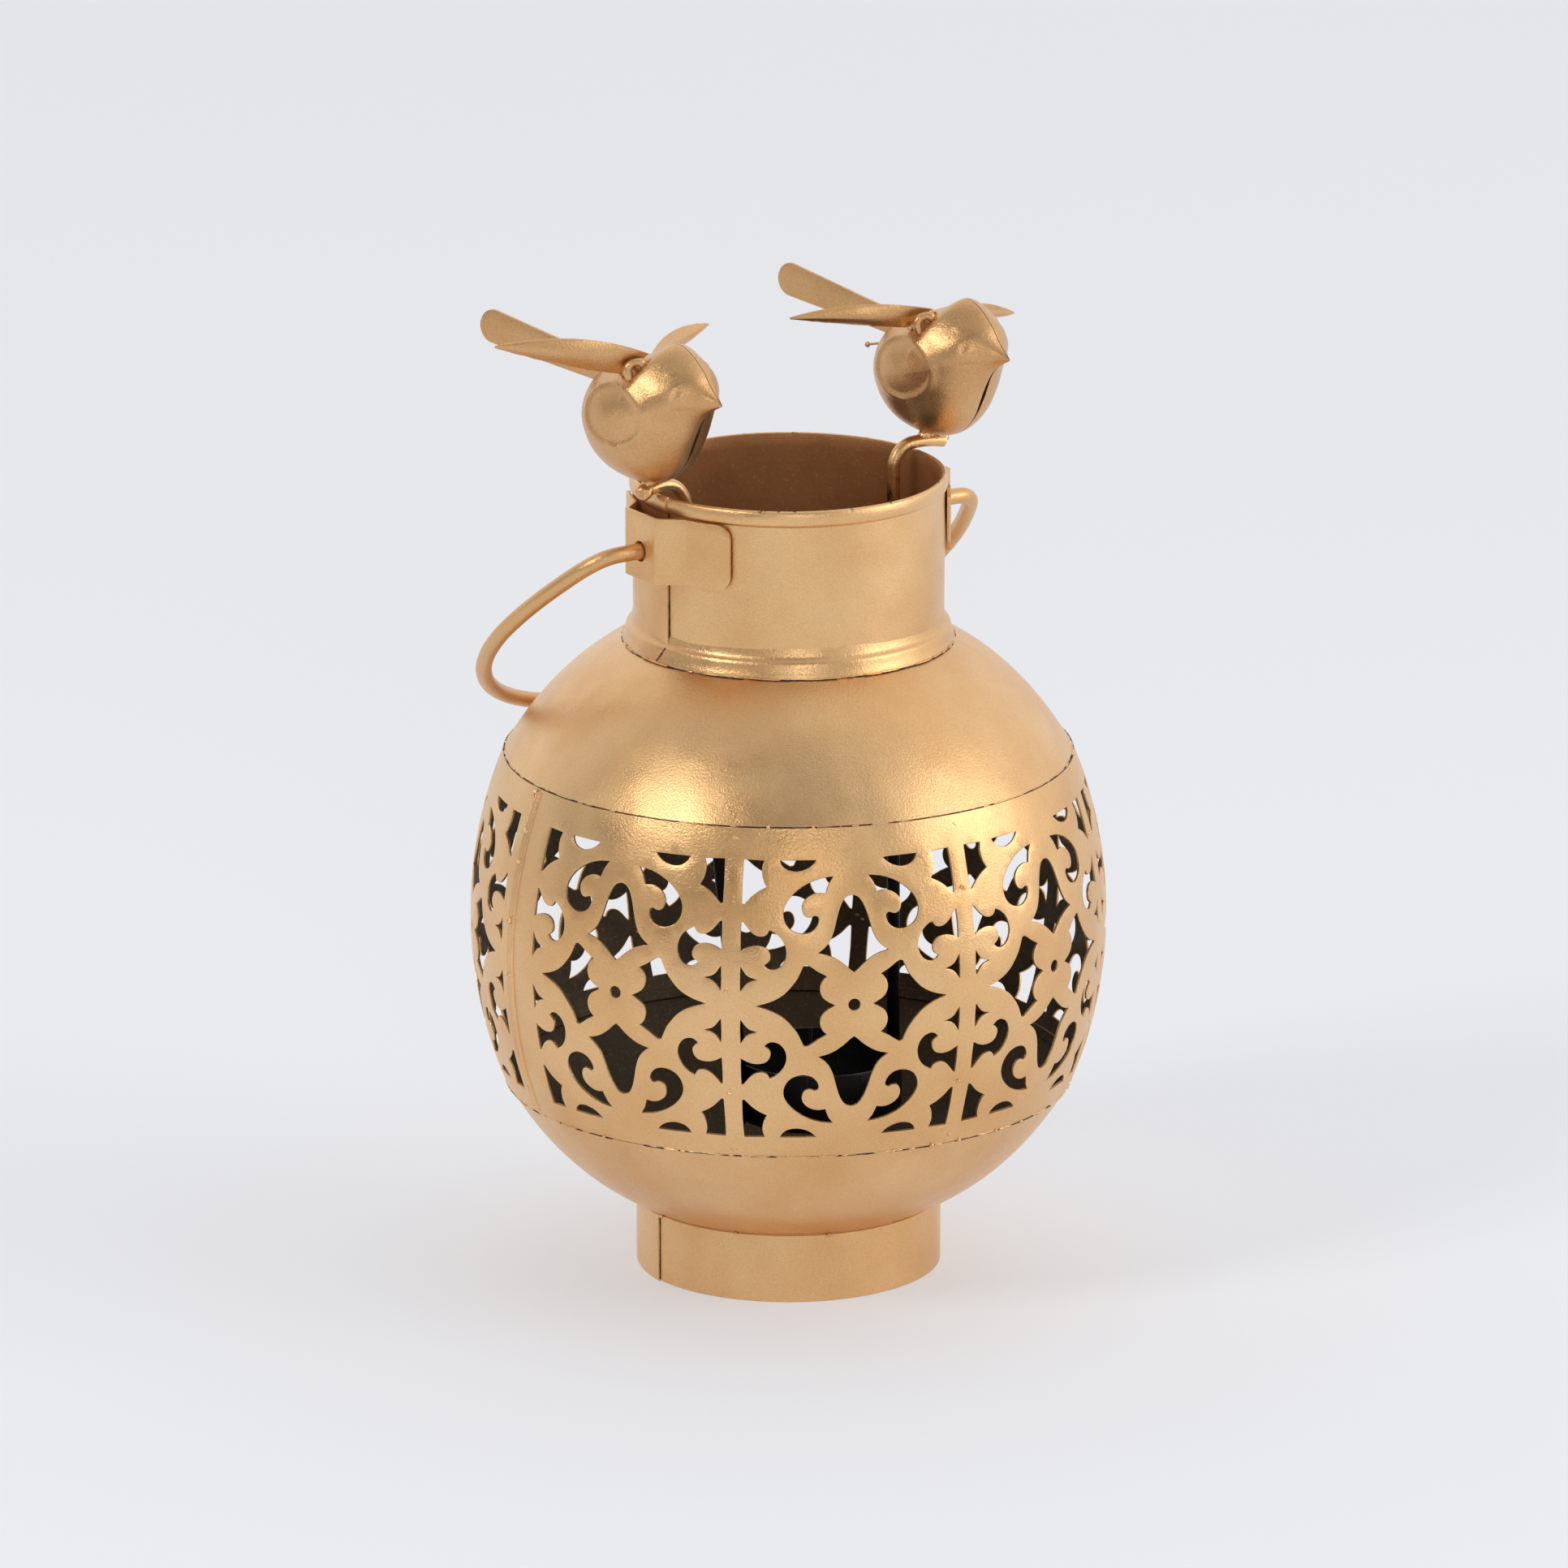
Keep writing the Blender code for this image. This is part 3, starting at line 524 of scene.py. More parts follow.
# Outlines of one quarter of a panel's pattern in millimetres from its centre: across, up.
# Each outline is a list of runs; runs meet in sharp corners.
CORNER_SLOT = [
    [(27.1, 36.7), (29.5, 35.5), (31.8, 33.8), (33.3, 32.2), (34.3, 31.3), (34.8, 31.6)],
    [(34.8, 31.6), (34.9, 38.0), (34.7, 44.9)],
    [(34.7, 44.9), (28.0, 44.7)],
    [(28.0, 44.7), (28.7, 42.4), (28.5, 40.0), (27.9, 38.1), (27.1, 36.7)]]
HALF_MOON = [
    [(11.0, 44.8), (12.4, 43.4), (14.4, 42.2), (17.4, 41.5), (20.4, 42.0), (22.2, 43.4),
     (22.9, 44.8)],
    [(22.9, 44.8), (11.0, 44.8)]]
C_SCROLL = [
    [(8.4, 34.6), (10.3, 34.9), (12.3, 34.6), (14.2, 33.6), (15.5, 32.2), (16.0, 30.5),
     (15.6, 28.7), (14.6, 27.6), (13.2, 27.4), (12.0, 27.9), (11.0, 27.6), (10.7, 26.5),
     (11.4, 24.7), (13.0, 23.2), (15.2, 22.6), (17.6, 22.9), (19.9, 24.2), (21.3, 26.4),
     (21.7, 28.8), (21.1, 31.2), (19.5, 33.6), (17.1, 35.8), (13.8, 37.8), (9.7, 39.2),
     (5.7, 39.7)],
    [(5.7, 39.7), (7.3, 37.6), (8.4, 34.6)]]
HOOK_SCROLL = [
    [(34.8, 17.2), (33.0, 18.2), (31.0, 18.8), (28.8, 18.8), (26.9, 18.1), (25.8, 16.6),
     (25.6, 14.9), (26.3, 13.7), (27.5, 12.9)],
    [(27.5, 12.9), (26.4, 11.9), (24.9, 11.5), (22.9, 12.2), (21.4, 14.0), (20.8, 16.4),
     (21.2, 18.9), (22.4, 21.1), (24.2, 22.7), (26.0, 23.6)],
    [(26.0, 23.6), (26.8, 22.2), (28.2, 21.6), (30.0, 21.8), (31.7, 22.9), (33.2, 24.6),
     (34.2, 25.8), (34.8, 25.9)],
    [(34.8, 25.9), (34.9, 21.5), (34.8, 17.2)]]
SIDE_TRIANGLE = [
    [(29.6, 8.3), (31.4, 7.9), (32.8, 7.1), (33.8, 5.9), (34.8, 4.5)],
    [(34.8, 4.5), (34.9, 8.3), (34.8, 12.2)],
    [(34.8, 12.2), (34.1, 11.1), (33.1, 9.7), (31.6, 8.8), (29.6, 8.3)]]
BELL_SIDE = [(0.0, 10.2), (1.3, 11.2), (2.9, 12.7), (5.7, 14.7), (8.4, 15.9), (11.0, 16.5)]
BELL_FLANK = [(11.0, 16.5), (9.2, 17.8), (7.6, 19.6), (6.5, 21.8), (5.7, 24.2), (4.9, 27.2),
              (3.9, 30.2), (2.7, 32.4), (1.5, 33.5), (0.0, 33.9)]
DIAMOND_LOBE = [(5.9, 0.0), (8.2, 1.2), (9.8, 2.6), (10.6, 4.8), (10.3, 6.9), (9.4, 8.4),
                (8.4, 9.2)]
DIAMOND_EDGE = [(8.4, 9.2), (11.0, 10.6), (13.1, 12.1), (14.5, 12.9)]
DIAMOND_CAP = [(14.5, 12.9), (15.5, 12.7)]
DIAMOND_FLANK = [(15.5, 12.7), (16.3, 10.9), (17.4, 8.6), (19.0, 6.4), (21.4, 3.8), (24.4, 1.9),
                 (27.5, 0.7), (30.1, 0.0)]
CENTRE_HOLE_RADIUS = 1.85
PATTERN_RISE = -1.2
PANEL_PITCH = math.radians(44.1)
FIRST_PANEL = math.radians(-32.4)
PANEL_HALF = PANEL_PITCH / 2 * BAND_RADIUS / MM
WIDE_HALF = (math.pi - 3.5 * PANEL_PITCH) * BAND_RADIUS / MM
BAND_HALF_RISE = 53.3
EDGE_ROUND = 0.28         # width of the rolled edge at each cut-out
EDGE_RINGS = ((0.08, 0.06), (0.0, 0.25), (0.0, 0.68), (0.1, 0.85))    # inset and depth
PANEL_COUNT = 8


def reversed_run(run, flip_across, flip_rise):
    return [(flip_across * across, flip_rise * rise) for across, rise in reversed(run)]


def join_runs(runs, steps):
    outline = []
    for run in runs:
        outline += smooth_run(run, steps) if len(run) > 2 else [run[0], (
            (run[0][0] + run[1][0]) / 2, (run[0][1] + run[1][1]) / 2)]
    return outline


def pattern_outlines(steps):
    """All cut-outs of one panel as fine closed outlines, in millimetres, counter-clockwise."""
    cutouts = []
    for runs in (CORNER_SLOT, HALF_MOON, C_SCROLL, HOOK_SCROLL, SIDE_TRIANGLE):
        outline = join_runs(runs, steps)
        for side in (1, -1):
            for end in (1, -1):
                cutouts.append([(side * across, end * rise) for across, rise in outline])
    bell = join_runs([BELL_SIDE, BELL_FLANK, reversed_run(BELL_FLANK, -1, 1),
                      reversed_run(BELL_SIDE, -1, 1)], steps)
    half = [DIAMOND_LOBE, DIAMOND_EDGE, DIAMOND_CAP, DIAMOND_FLANK]
    diamond = join_runs(half + [reversed_run(run, 1, -1) for run in reversed(half)], steps)
    for sign in (1, -1):
        cutouts.append([(across, sign * rise) for across, rise in bell])
        cutouts.append([(sign * across, rise) for across, rise in diamond])
    sides = 20
    cutouts.append([(CENTRE_HOLE_RADIUS * math.cos(2 * math.pi * side / sides),
                     CENTRE_HOLE_RADIUS * math.sin(2 * math.pi * side / sides))
                    for side in range(sides)])
    placed = []
    for outline in cutouts:
        outline = [(across, rise + PATTERN_RISE) for across, rise in outline]
        area = sum(a[0] * b[1] - b[0] * a[1] for a, b in zip(outline, outline[1:] + outline[:1]))
        placed.append(outline if area > 0 else outline[::-1])
    return placed


def spread(outline, distance):
    """Move a closed counter-clockwise outline outwards, by its corners' averaged normals."""
    moved = []
    count = len(outline)
    for index, (across, rise) in enumerate(outline):
        before = Vector(outline[index - 1])
        after = Vector(outline[(index + 1) % count])
        here = Vector((across, rise))
        first = (here - before).normalized()
        last = (after - here).normalized()
        normal = Vector(((first + last).y, -(first + last).x))
        if normal.length < 0.2:
            normal = Vector((first.y - last.y, last.x - first.x)) + (first - last)
        normal.normalize()
        moved.append((across + normal.x * distance, rise + normal.y * distance))
    return moved


def inside(point, outline):
    hit = False
    for (ax, ay), (bx, by) in zip(outline, outline[1:] + outline[:1]):
        if (ay > point[1]) != (by > point[1]):
            if point[0] < ax + (bx - ax) * (point[1] - ay) / (by - ay):
                hit = not hit
    return hit


def band_point(across, rise, depth, turn):
    """Bend a flat drawing point in millimetres onto the band, a depth in metres below it."""
    angle = turn + across * MM / BAND_RADIUS
    tilt = rise * MM / BAND_BULGE
    radius = BAND_RADIUS - BAND_BULGE + (BAND_BULGE - depth) * math.cos(tilt)
    height = GLOBE_Z + (BAND_BULGE - depth) * math.sin(tilt)
    return Vector((radius * math.sin(angle), -radius * math.cos(angle), height))


def panel_sheet(left, right, cutouts):
    """Flat points and triangles of a panel between its border and its spread cut-outs."""
    across_steps = 26
    rise_steps = 36
    clearance = 0.8
    width = (right - left) / across_steps
    border = [(left + width * index, -BAND_HALF_RISE) for index in range(across_steps)]
    rises = [BAND_HALF_RISE * (2 * index / rise_steps - 1) for index in range(rise_steps)]
    border += [(right, rise) for rise in rises]
    border += [(right - width * index, BAND_HALF_RISE) for index in range(across_steps)]
    border += [(left, -rise) for rise in rises]
    outlines = [border] + cutouts
    points = [point for outline in outlines for point in outline]
    edges = []
    first = 0
    for outline in outlines:
        count = len(outline)
        edges += [(first + index, first + (index + 1) % count) for index in range(count)]
        first += count
    boxes = [(min(p[0] for p in o), max(p[0] for p in o), min(p[1] for p in o),
              max(p[1] for p in o), o) for o in cutouts]

    def in_cutout(point):
        return any(low_x < point[0] < high_x and low_y < point[1] < high_y
                   and inside(point, outline)
                   for low_x, high_x, low_y, high_y, outline in boxes)

    fill = []
    for column in range(1, across_steps):
        for row in range(1, rise_steps):
            point = (left + width * column, BAND_HALF_RISE * (2 * row / rise_steps - 1))
            near = any(abs(point[0] - p[0]) < clearance and abs(point[1] - p[1]) < clearance
                       for o in cutouts for p in o[::2])
            if not near and not in_cutout(point):
                fill.append(point)
    sources = points + fill
    flat, _, triangles, origins, _, _ = delaunay_2d_cdt(
        [Vector(point) for point in sources], edges, [list(range(len(border)))], 1, 1e-6)
    kept = []
    for triangle in triangles:
        centre = sum((flat[index] for index in triangle), Vector((0.0, 0.0))) / 3
        if not in_cutout(centre):
            kept.append([origins[index][0] for index in triangle])
    return sources, len(border), kept


def border_wall(count, back):
    """Faces that join a panel's outer and inner border."""
    return [[index, (index + 1) % count, (index + 1) % count + back, index + back]
            for index in range(count)]


def cutout_wall(points, outline, first, back, turn):
    """Faces down the rolled edge of a cut-out. Its new rings go on the end of points."""
    count = len(outline)
    rings = [list(range(first, first + count))]
    for inset, depth in EDGE_RINGS:
        ring = spread(outline, inset) if inset else outline
        rings.append(list(range(len(points), len(points) + count)))
        points += [band_point(across, rise, depth * MM, turn) for across, rise in ring]
    rings.append(list(range(back + first, back + first + count)))
    faces = []
    for upper, lower in zip(rings, rings[1:]):
        for index in range(count):
            following = (index + 1) % count
            faces.append([upper[index], lower[index], lower[following], upper[following]])
    return faces


def make_panel(number, sheet, cutouts):
    """One pierced panel from its flat sheet: two skins, the border and the cut-outs' edges."""
    flat, border, triangles = sheet
    turn = FIRST_PANEL + number * PANEL_PITCH
    points = [band_point(across, rise, depth, turn)
              for depth in (0.0, SHEET) for across, rise in flat]
    back = len(flat)
    faces = list(triangles)
    faces += [[index + back for index in reversed(triangle)] for triangle in triangles]
    picks = [0] * len(triangles) + [1] * len(triangles)
    faces += border_wall(border, back)
    first = border
    for outline in cutouts:
        faces += cutout_wall(points, outline, first, back, turn)
        first += len(outline)
    picks += [0] * (len(faces) - len(picks))
    points = [point + point.normalized() * rippled(point, 0.028, 0.00018, 21.0)
              for point in points]
    name = f"pierced_panel_{number + 1}"
    make_piece(name + "_fine", points, faces, [GOLD, GLOBE_INSIDE_AND_BIRD_SHADE], *GLOBE, [name], sharp=50,
               picks=picks)


def make_panels():
    """The ring of panels. The first and last have a wider bar, where the band's ends lap."""
    cutouts = pattern_outlines(2)
    wide = [spread(outline, EDGE_ROUND) for outline in cutouts]
    sheets = {}
    for number in range(PANEL_COUNT):
        left = WIDE_HALF if number == 0 else PANEL_HALF
        right = WIDE_HALF if number == PANEL_COUNT - 1 else PANEL_HALF
        if (left, right) not in sheets:
            sheets[left, right] = panel_sheet(-left, right, wide)
        make_panel(number, sheets[left, right], cutouts)


def on_band(turn, rise, lift=0.0):
    """Point on the band's outer face at a turn from the front and a rise in metres."""
    return band_point(0.0, rise / MM, -lift, turn)


def make_band_seam():
    """Raised double ridge of the band's lapped seam, from edge to edge of the band."""
    points = []
    section = [(-1.9, -0.3), (-1.6, 0.25), (-1.1, 0.55), (-0.6, 0.30), (-0.1, 0.22), (0.4, 0.34),
               (0.9, 0.60), (1.4, 0.28), (1.7, -0.3)]
    steps = 90
    for step in range(steps + 1):
        rise = -52.6 + 105.0 * step / steps
        wander = 1.6 * math.sin((rise + 20) / 46.0) + 0.25 * noise.noise(Vector((rise / 5, 0, 0)))
        lumps = 0.12 * noise.noise(Vector((rise / 1.6, 4.0, 0.0)))
        for across, lift in section:
            lifted = lift + (lumps if lift > 0 else 0.0)
            points.append(band_point(across + wander, rise, -lifted * MM, SEAM_TURN))
    faces = tube_faces(steps + 1, len(section))
    make_piece("band_lap_seam", points, faces, [GOLD], *GLOBE, sharp=60)


# --- Welds and small trim ------------------------------------------------------------------

def blob_mesh(places, seed, detail=3):
    """Lumpy beads joined into one list of points and faces: each place is (centre, radii)."""
    dice = random.Random(seed)
    beads = []
    for centre, radii in places:
        ball = bmesh.new()
        bmesh.ops.create_icosphere(ball, subdivisions=detail, radius=1.0)
        shift = Vector((dice.random(), dice.random(), dice.random())) * 20
        points = []
        for vert in ball.verts:
            swell = 1.0 + 0.28 * noise.noise(vert.co * 1.6 + shift)
            points.append(Vector(centre) + vert.co * Vector(radii) * swell)
        beads.append((points, [[vert.index for vert in face.verts] for face in ball.faces]))
        ball.free()
    return joined(beads)


def make_lump(name, centre, size, material, seed, body, slot):
    """One lumpy ball."""
    points, faces = blob_mesh([(centre, (size, size, size))], seed)
    make_piece(name, points, faces, [material], body, slot, sharp=180)


def bead_row(name, route, size, body, slot, material, seed):
    """Weld bead: overlapping lumps along a route of points."""
    dice = random.Random(seed)
    places = []
    for place in route:
        grow = size * (0.75 + 0.5 * dice.random())
        jitter = Vector((dice.random() - 0.5, dice.random() - 0.5, dice.random() - 0.5)) * size
        places.append((Vector(place) + jitter * 0.4, (grow, grow, grow * 0.8)))
    points, faces = blob_mesh(places, seed)
    make_piece(name, points, faces, [material], body, slot, sharp=180)


def ring_bead(name, radius, height, size, lumps, seed):
    """Broken line of small weld lumps round the axis, with a few larger ones."""
    dice = random.Random(seed)
    beads = []
    for index in range(lumps):
        if dice.random() < 0.25:
            continue
        angle = 2 * math.pi * (index + 0.8 * dice.random()) / lumps
        large = 2.2 if dice.random() < 0.07 else 1.0
        grow = size * (0.6 + 0.6 * dice.random()) * large
        stretch = 0.0010 + 0.0030 * dice.random() if large == 1.0 else grow
        level = height + 0.0002 * (dice.random() - 0.5)
        points, faces = blob_mesh([((0.0, 0.0, 0.0), (grow, stretch, grow))], seed, 2)
        turn = Matrix.Rotation(angle, 3, "Z")
        beads.append(([turn @ (point + Vector((radius, 0.0, level))) for point in points],
                      faces))
    points, faces = joined(beads)
    make_piece(name, points, faces, [WELD_GOLD], *GLOBE, sharp=180)


def gap_shade_line(name, start, end, size, seed):
    """Thin dark tube of painted shade between two points, of uneven width, standing in for the
    shadow in an open joint.
    """
    dice = random.Random(seed)
    steps = 24
    path = [start.lerp(end, step / steps) for step in range(steps + 1)]
    radii = [size * (0.45 + 0.55 * dice.random()) for _ in path]
    make_tube(name, path, radii, Vector((1.0, 0.3, 0.1)), SEAM_GAP_SHADE, *GLOBE, sides=8)


def gap_shade_ring(name, radius, height, size, seed):
    """Broken dark tube of painted shade round the axis, standing in for the shadow in an open
    joint.
    """
    dice = random.Random(seed)
    arcs = []
    angle = 0.0
    while angle < 6.0:
        span = dice.uniform(0.10, 0.55)
        steps = max(3, int(span / 0.025))
        path = [turned(radius, angle + span * step / steps, height) for step in range(steps + 1)]
        radii = [size * (0.35 + 0.65 * dice.random()) for _ in path]
        arcs.append(tube_mesh(path, radii, UP, 8))
        angle += span + dice.uniform(0.02, 0.22)
    points, faces = joined(arcs)
    make_piece(name, points, faces, [SEAM_GAP_SHADE], *GLOBE)


def make_bar_welds():
    """Lumps where neighbouring panels are welded, and along the band's lapped seam."""
    dice = random.Random(7)
    wander = math.radians(0.9)
    for number in range(PANEL_COUNT - 1):
        bar = FIRST_PANEL + PANEL_PITCH * (number + 0.5)
        route = []
        for rise in (0.0512, -0.0516, 0.004, -0.030, 0.031):
            for _ in range(2):
                turn = bar + dice.uniform(-wander, wander)
                route.append(on_band(turn, rise + dice.uniform(-0.0014, 0.0014), -0.0004))
        bead_row(f"bar_weld_{number + 1}", route, 0.00075, *GLOBE, WELD_GOLD, 30 + number)
    seam = []
    for rise in (0.0520, 0.0505, 0.040, 0.030, 0.0115, -0.006, -0.0445, -0.0515):
        seam.append(on_band(SEAM_TURN + math.radians(dice.uniform(-0.8, 0.8)), rise, 0.0002))
    bead_row("band_seam_weld", seam, 0.0011, *GLOBE, WELD_GOLD, 51)


def make_joint_lines():
    """Weld lumps, and dark lines of painted shade for the open gaps, at the rings' joints and at
    the strips' lapped ends.
    """
    skirt = bottom_of("neck_skirt") + 0.0009
    edge = 0.0521
    ring_bead("neck_skirt_weld", SKIRT_RADIUS, skirt, 0.00032, 70, 61)
    gap_shade_ring("neck_skirt_gap_shade", SKIRT_RADIUS - 0.0001, skirt - 0.0003, 0.00024, 64)
    gap_shade_ring("band_top_gap_shade", band_reach(edge, 0.0), GLOBE_Z + edge + 0.0001, 0.00020, 65)
    gap_shade_ring("band_bottom_gap_shade", band_reach(edge, 0.0), GLOBE_Z - edge - 0.0001, 0.00026, 66)
    before_lap = math.radians(0.3)
    turn = NECK_SEAM + before_lap
    radius = COLLAR_RADIUS - 0.00015
    height = bottom_of("neck_collar") + 0.0072
    gap_shade_line("neck_seam_gap_shade", turned(radius, turn, height),
             turned(radius, turn, top_of("neck_collar") - 0.0045), 0.00026, 67)
    gap_shade_line("neck_skirt_joint_shade", turned(0.0497, turn, height - 0.0010),
             turned(SKIRT_RADIUS - 0.0002, turn - math.radians(3.4), skirt), 0.00024, 68)
    turn = FOOT_SEAM + before_lap
    radius = 0.0472
    gap_shade_line("foot_seam_gap_shade", turned(radius, turn, 0.0006), turned(radius, turn, 0.0210),
             0.00024, 69)
    ring_bead("band_top_weld", band_reach(edge - 0.0001, 0.0003), GLOBE_Z + edge, 0.00030, 150,
              62)
    ring_bead("band_bottom_weld", band_reach(edge - 0.0001, 0.0001), GLOBE_Z - edge, 0.00036,
              170, 63)
    route = []
    for degrees in (-58.0, -56.5, -20.0, 15.0, 70.0, 140.0, 200.0, 250.0):
        route.append(turned(0.0476, math.radians(degrees - 90.0), 0.0216))
    bead_row("foot_weld", route, 0.0008, *GLOBE, WELD_GOLD, 71)


# --- Handle line: brackets, handle and posts -----------------------------------------------

BEARING = math.radians(34.0)
ALONG = Vector((math.cos(BEARING), math.sin(BEARING), 0.0))
PIVOT = Vector(next(j for j in frame["joints"] if j["name"] == "handle_swing")["pos_m"])
STRAP = 0.0012                         # thickness of the brackets' strap
BRACKET_REACH = 0.0547                 # outer face of the brackets' loops from the axis
HANDLE_WIRE = 0.0025                   # radii of the wires
POST_WIRE = 0.002


def on_line(distance, height):
    """Point in the handle's upright plane, from millimetres along it and up."""
    return ALONG * distance * MM + Vector((0.0, 0.0, height * MM))


def tube_points(path, radii, side, sides):
    """Rings of points along a path that lies square to the side direction."""
    points = []
    side = side.normalized()
    for index, place in enumerate(path):
        ahead = path[min(index + 1, len(path) - 1)]
        behind = path[max(index - 1, 0)]
        across = side.cross((ahead - behind).normalized())
        for corner in range(sides):
            angle = 2 * math.pi * corner / sides
            points.append(place + radii[index] * (math.cos(angle) * across
                                                  + math.sin(angle) * side))
    return points


def tube_mesh(path, radii, side, sides):
    return tube_points(path, radii, side, sides), tube_faces(len(path), sides)


def make_tube(name, path, radii, side, material, body, slot, replaces=(), sides=24):
    points, faces = tube_mesh(path, radii, side, sides)
    return make_piece(name, points, faces, [material], body, slot, replaces)


def make_handle():
    drop = math.radians(39.0)          # how far the resting bail hangs below level
    back = Vector((-ALONG.y, ALONG.x, 0.0))
    away = back * math.cos(drop) - Vector((0.0, 0.0, math.sin(drop)))
    elbow = [(53.0, 0.0), (57.0, 0.0), (61.5, 0.0), (66.2, 1.0), (70.4, 5.2), (73.6, 12.0),
             (77.4, 24.0), (79.6, 35.0)]
    for step in range(13):
        angle = math.pi / 2 * step / 12
        elbow.append((80.5 * math.cos(angle), 46.0 + 73.5 * math.sin(angle)))
    half = smooth_run(elbow, 4) + [elbow[-1]]
    head = [(50.2, 0.0), (50.4, 0.0), (50.8, 0.0), (51.6, 0.0), (52.3, 0.0), (52.6, 0.0),
            (52.7, 0.0)]
    head_radii = [0.0024, 0.0031, 0.0035, 0.0036, 0.0034, 0.0029, HANDLE_WIRE]
    whole = head + half
    radii = head_radii + [HANDLE_WIRE] * len(half)
    mirrored = [(-a, b) for a, b in reversed(whole[:-1])]
    path = [PIVOT + ALONG * a * MM + away * b * MM for a, b in whole + mirrored]
    radii = radii + radii[-2::-1]
    make_tube("carry_handle_fine", path, radii, ALONG.cross(away), WIRE_GOLD, "handle",
              "handle_gold", ["carry_handle"], 28)


def bracket_line(steps):
    """The strap's outer face in plan, one half, tab end first: (across, out, corner inset)."""
    radius = COLLAR_RADIUS + 0.0005 + STRAP
    reach = BRACKET_REACH
    tab_end = 35.0
    tab_start = 17.5
    corner = 5.4
    corner_radius = 0.0047
    tab_steps = 26
    line = []
    for step in range(tab_steps + 1):
        degrees = tab_end - (tab_end - tab_start) * (step / tab_steps) ** 1.6
        short = max(0.0, (degrees - (tab_end - corner)) / corner)
        inset = corner_radius * (1.0 - math.sqrt(max(0.0, 1.0 - short ** 2)))
        line.append((radius * math.sin(math.radians(degrees)),
                     radius * math.cos(math.radians(degrees)), inset))
    rise = smooth_run([(radius * math.sin(math.radians(tab_start)),
                        radius * math.cos(math.radians(tab_start))),
                       (0.0139, 0.0481), (0.0118, 0.0505), (0.0098, 0.0530), (0.0086, 0.0543),
                       (0.0074, reach)], steps)
    line += [(across, out, 0.0) for across, out in rise[1:]]
    line += [(0.0074 * (1 - step / 4), reach, 0.0) for step in range(4)]
    return line


def make_bracket(name, direction):
    """Strap bracket with rounded tab corners and a bored loop."""
    half = bracket_line(3)
    outer = half + [(0.0, BRACKET_REACH, 0.0)] + [(-a, o, i) for a, o, i in reversed(half)]
    out_axis = ALONG * direction
    cross_axis = Vector((-out_axis.y, out_axis.x, 0.0))
    low = bottom_of(name)
    high = top_of(name)
    rows = 8
    points = []
    count = len(outer)
    normals = []
    for index in range(count):
        before = Vector(outer[max(index - 1, 0)][:2])
        after = Vector(outer[min(index + 1, count - 1)][:2])
        tangent = (after - before).normalized()
        normals.append(Vector((-tangent.y, tangent.x)))
    for depth in (0.0, STRAP):
        for row in range(rows + 1):
            share = row / rows
            for (across, out, inset), normal in zip(outer, normals):
                place = Vector((across, out)) + normal * depth
                height = low + inset + (high - low - 2 * inset) * share
                spot = cross_axis * place.x + out_axis * place.y
                points.append((spot.x, spot.y, height))
    faces = sheet_faces(rows, count - 1, (rows + 1) * count)
    piece = make_piece(name + "_fine", points, faces, [BRACKET_GOLD], "lantern", "bracket_gold",
                       [name], sharp=40)
    drill_bracket(piece, out_axis)


def drill_bracket(piece, out_axis):
    """Bore the loop for the bail's end and round the strap's edges."""
    bore = 0.0032
    drill = bmesh.new()
    bmesh.ops.create_cone(drill, cap_ends=True, segments=40, radius1=bore, radius2=bore,
                          depth=0.006)
    turn = UP.rotation_difference(out_axis).to_matrix().to_4x4()
    drill.transform(Matrix.Translation(PIVOT + out_axis * (BRACKET_REACH - 0.0006)) @ turn)
    mesh = bpy.data.meshes.new(piece.name + "_drill")
    drill.to_mesh(mesh)
    drill.free()
    cutter = bpy.data.objects.new(piece.name + "_drill", mesh)
    bpy.context.scene.collection.objects.link(cutter)
    cut = piece.modifiers.new("hole", "BOOLEAN")
    cut.object = cutter
    cut.operation = "DIFFERENCE"
    rounding = piece.modifiers.new("edges", "BEVEL")
    rounding.width = 0.0003
    rounding.segments = 2
    rounding.limit_method = "ANGLE"
    rounding.angle_limit = math.radians(50)
    apply_modifiers(piece)
    bpy.data.objects.remove(cutter)


def apply_modifiers(piece):
    graph = bpy.context.evaluated_depsgraph_get()
    mesh = bpy.data.meshes.new_from_object(piece.evaluated_get(graph))
    piece.modifiers.clear()
    piece.data = mesh
    mesh.shade_smooth()
    mesh.set_sharp_from_angle(angle=math.radians(40))


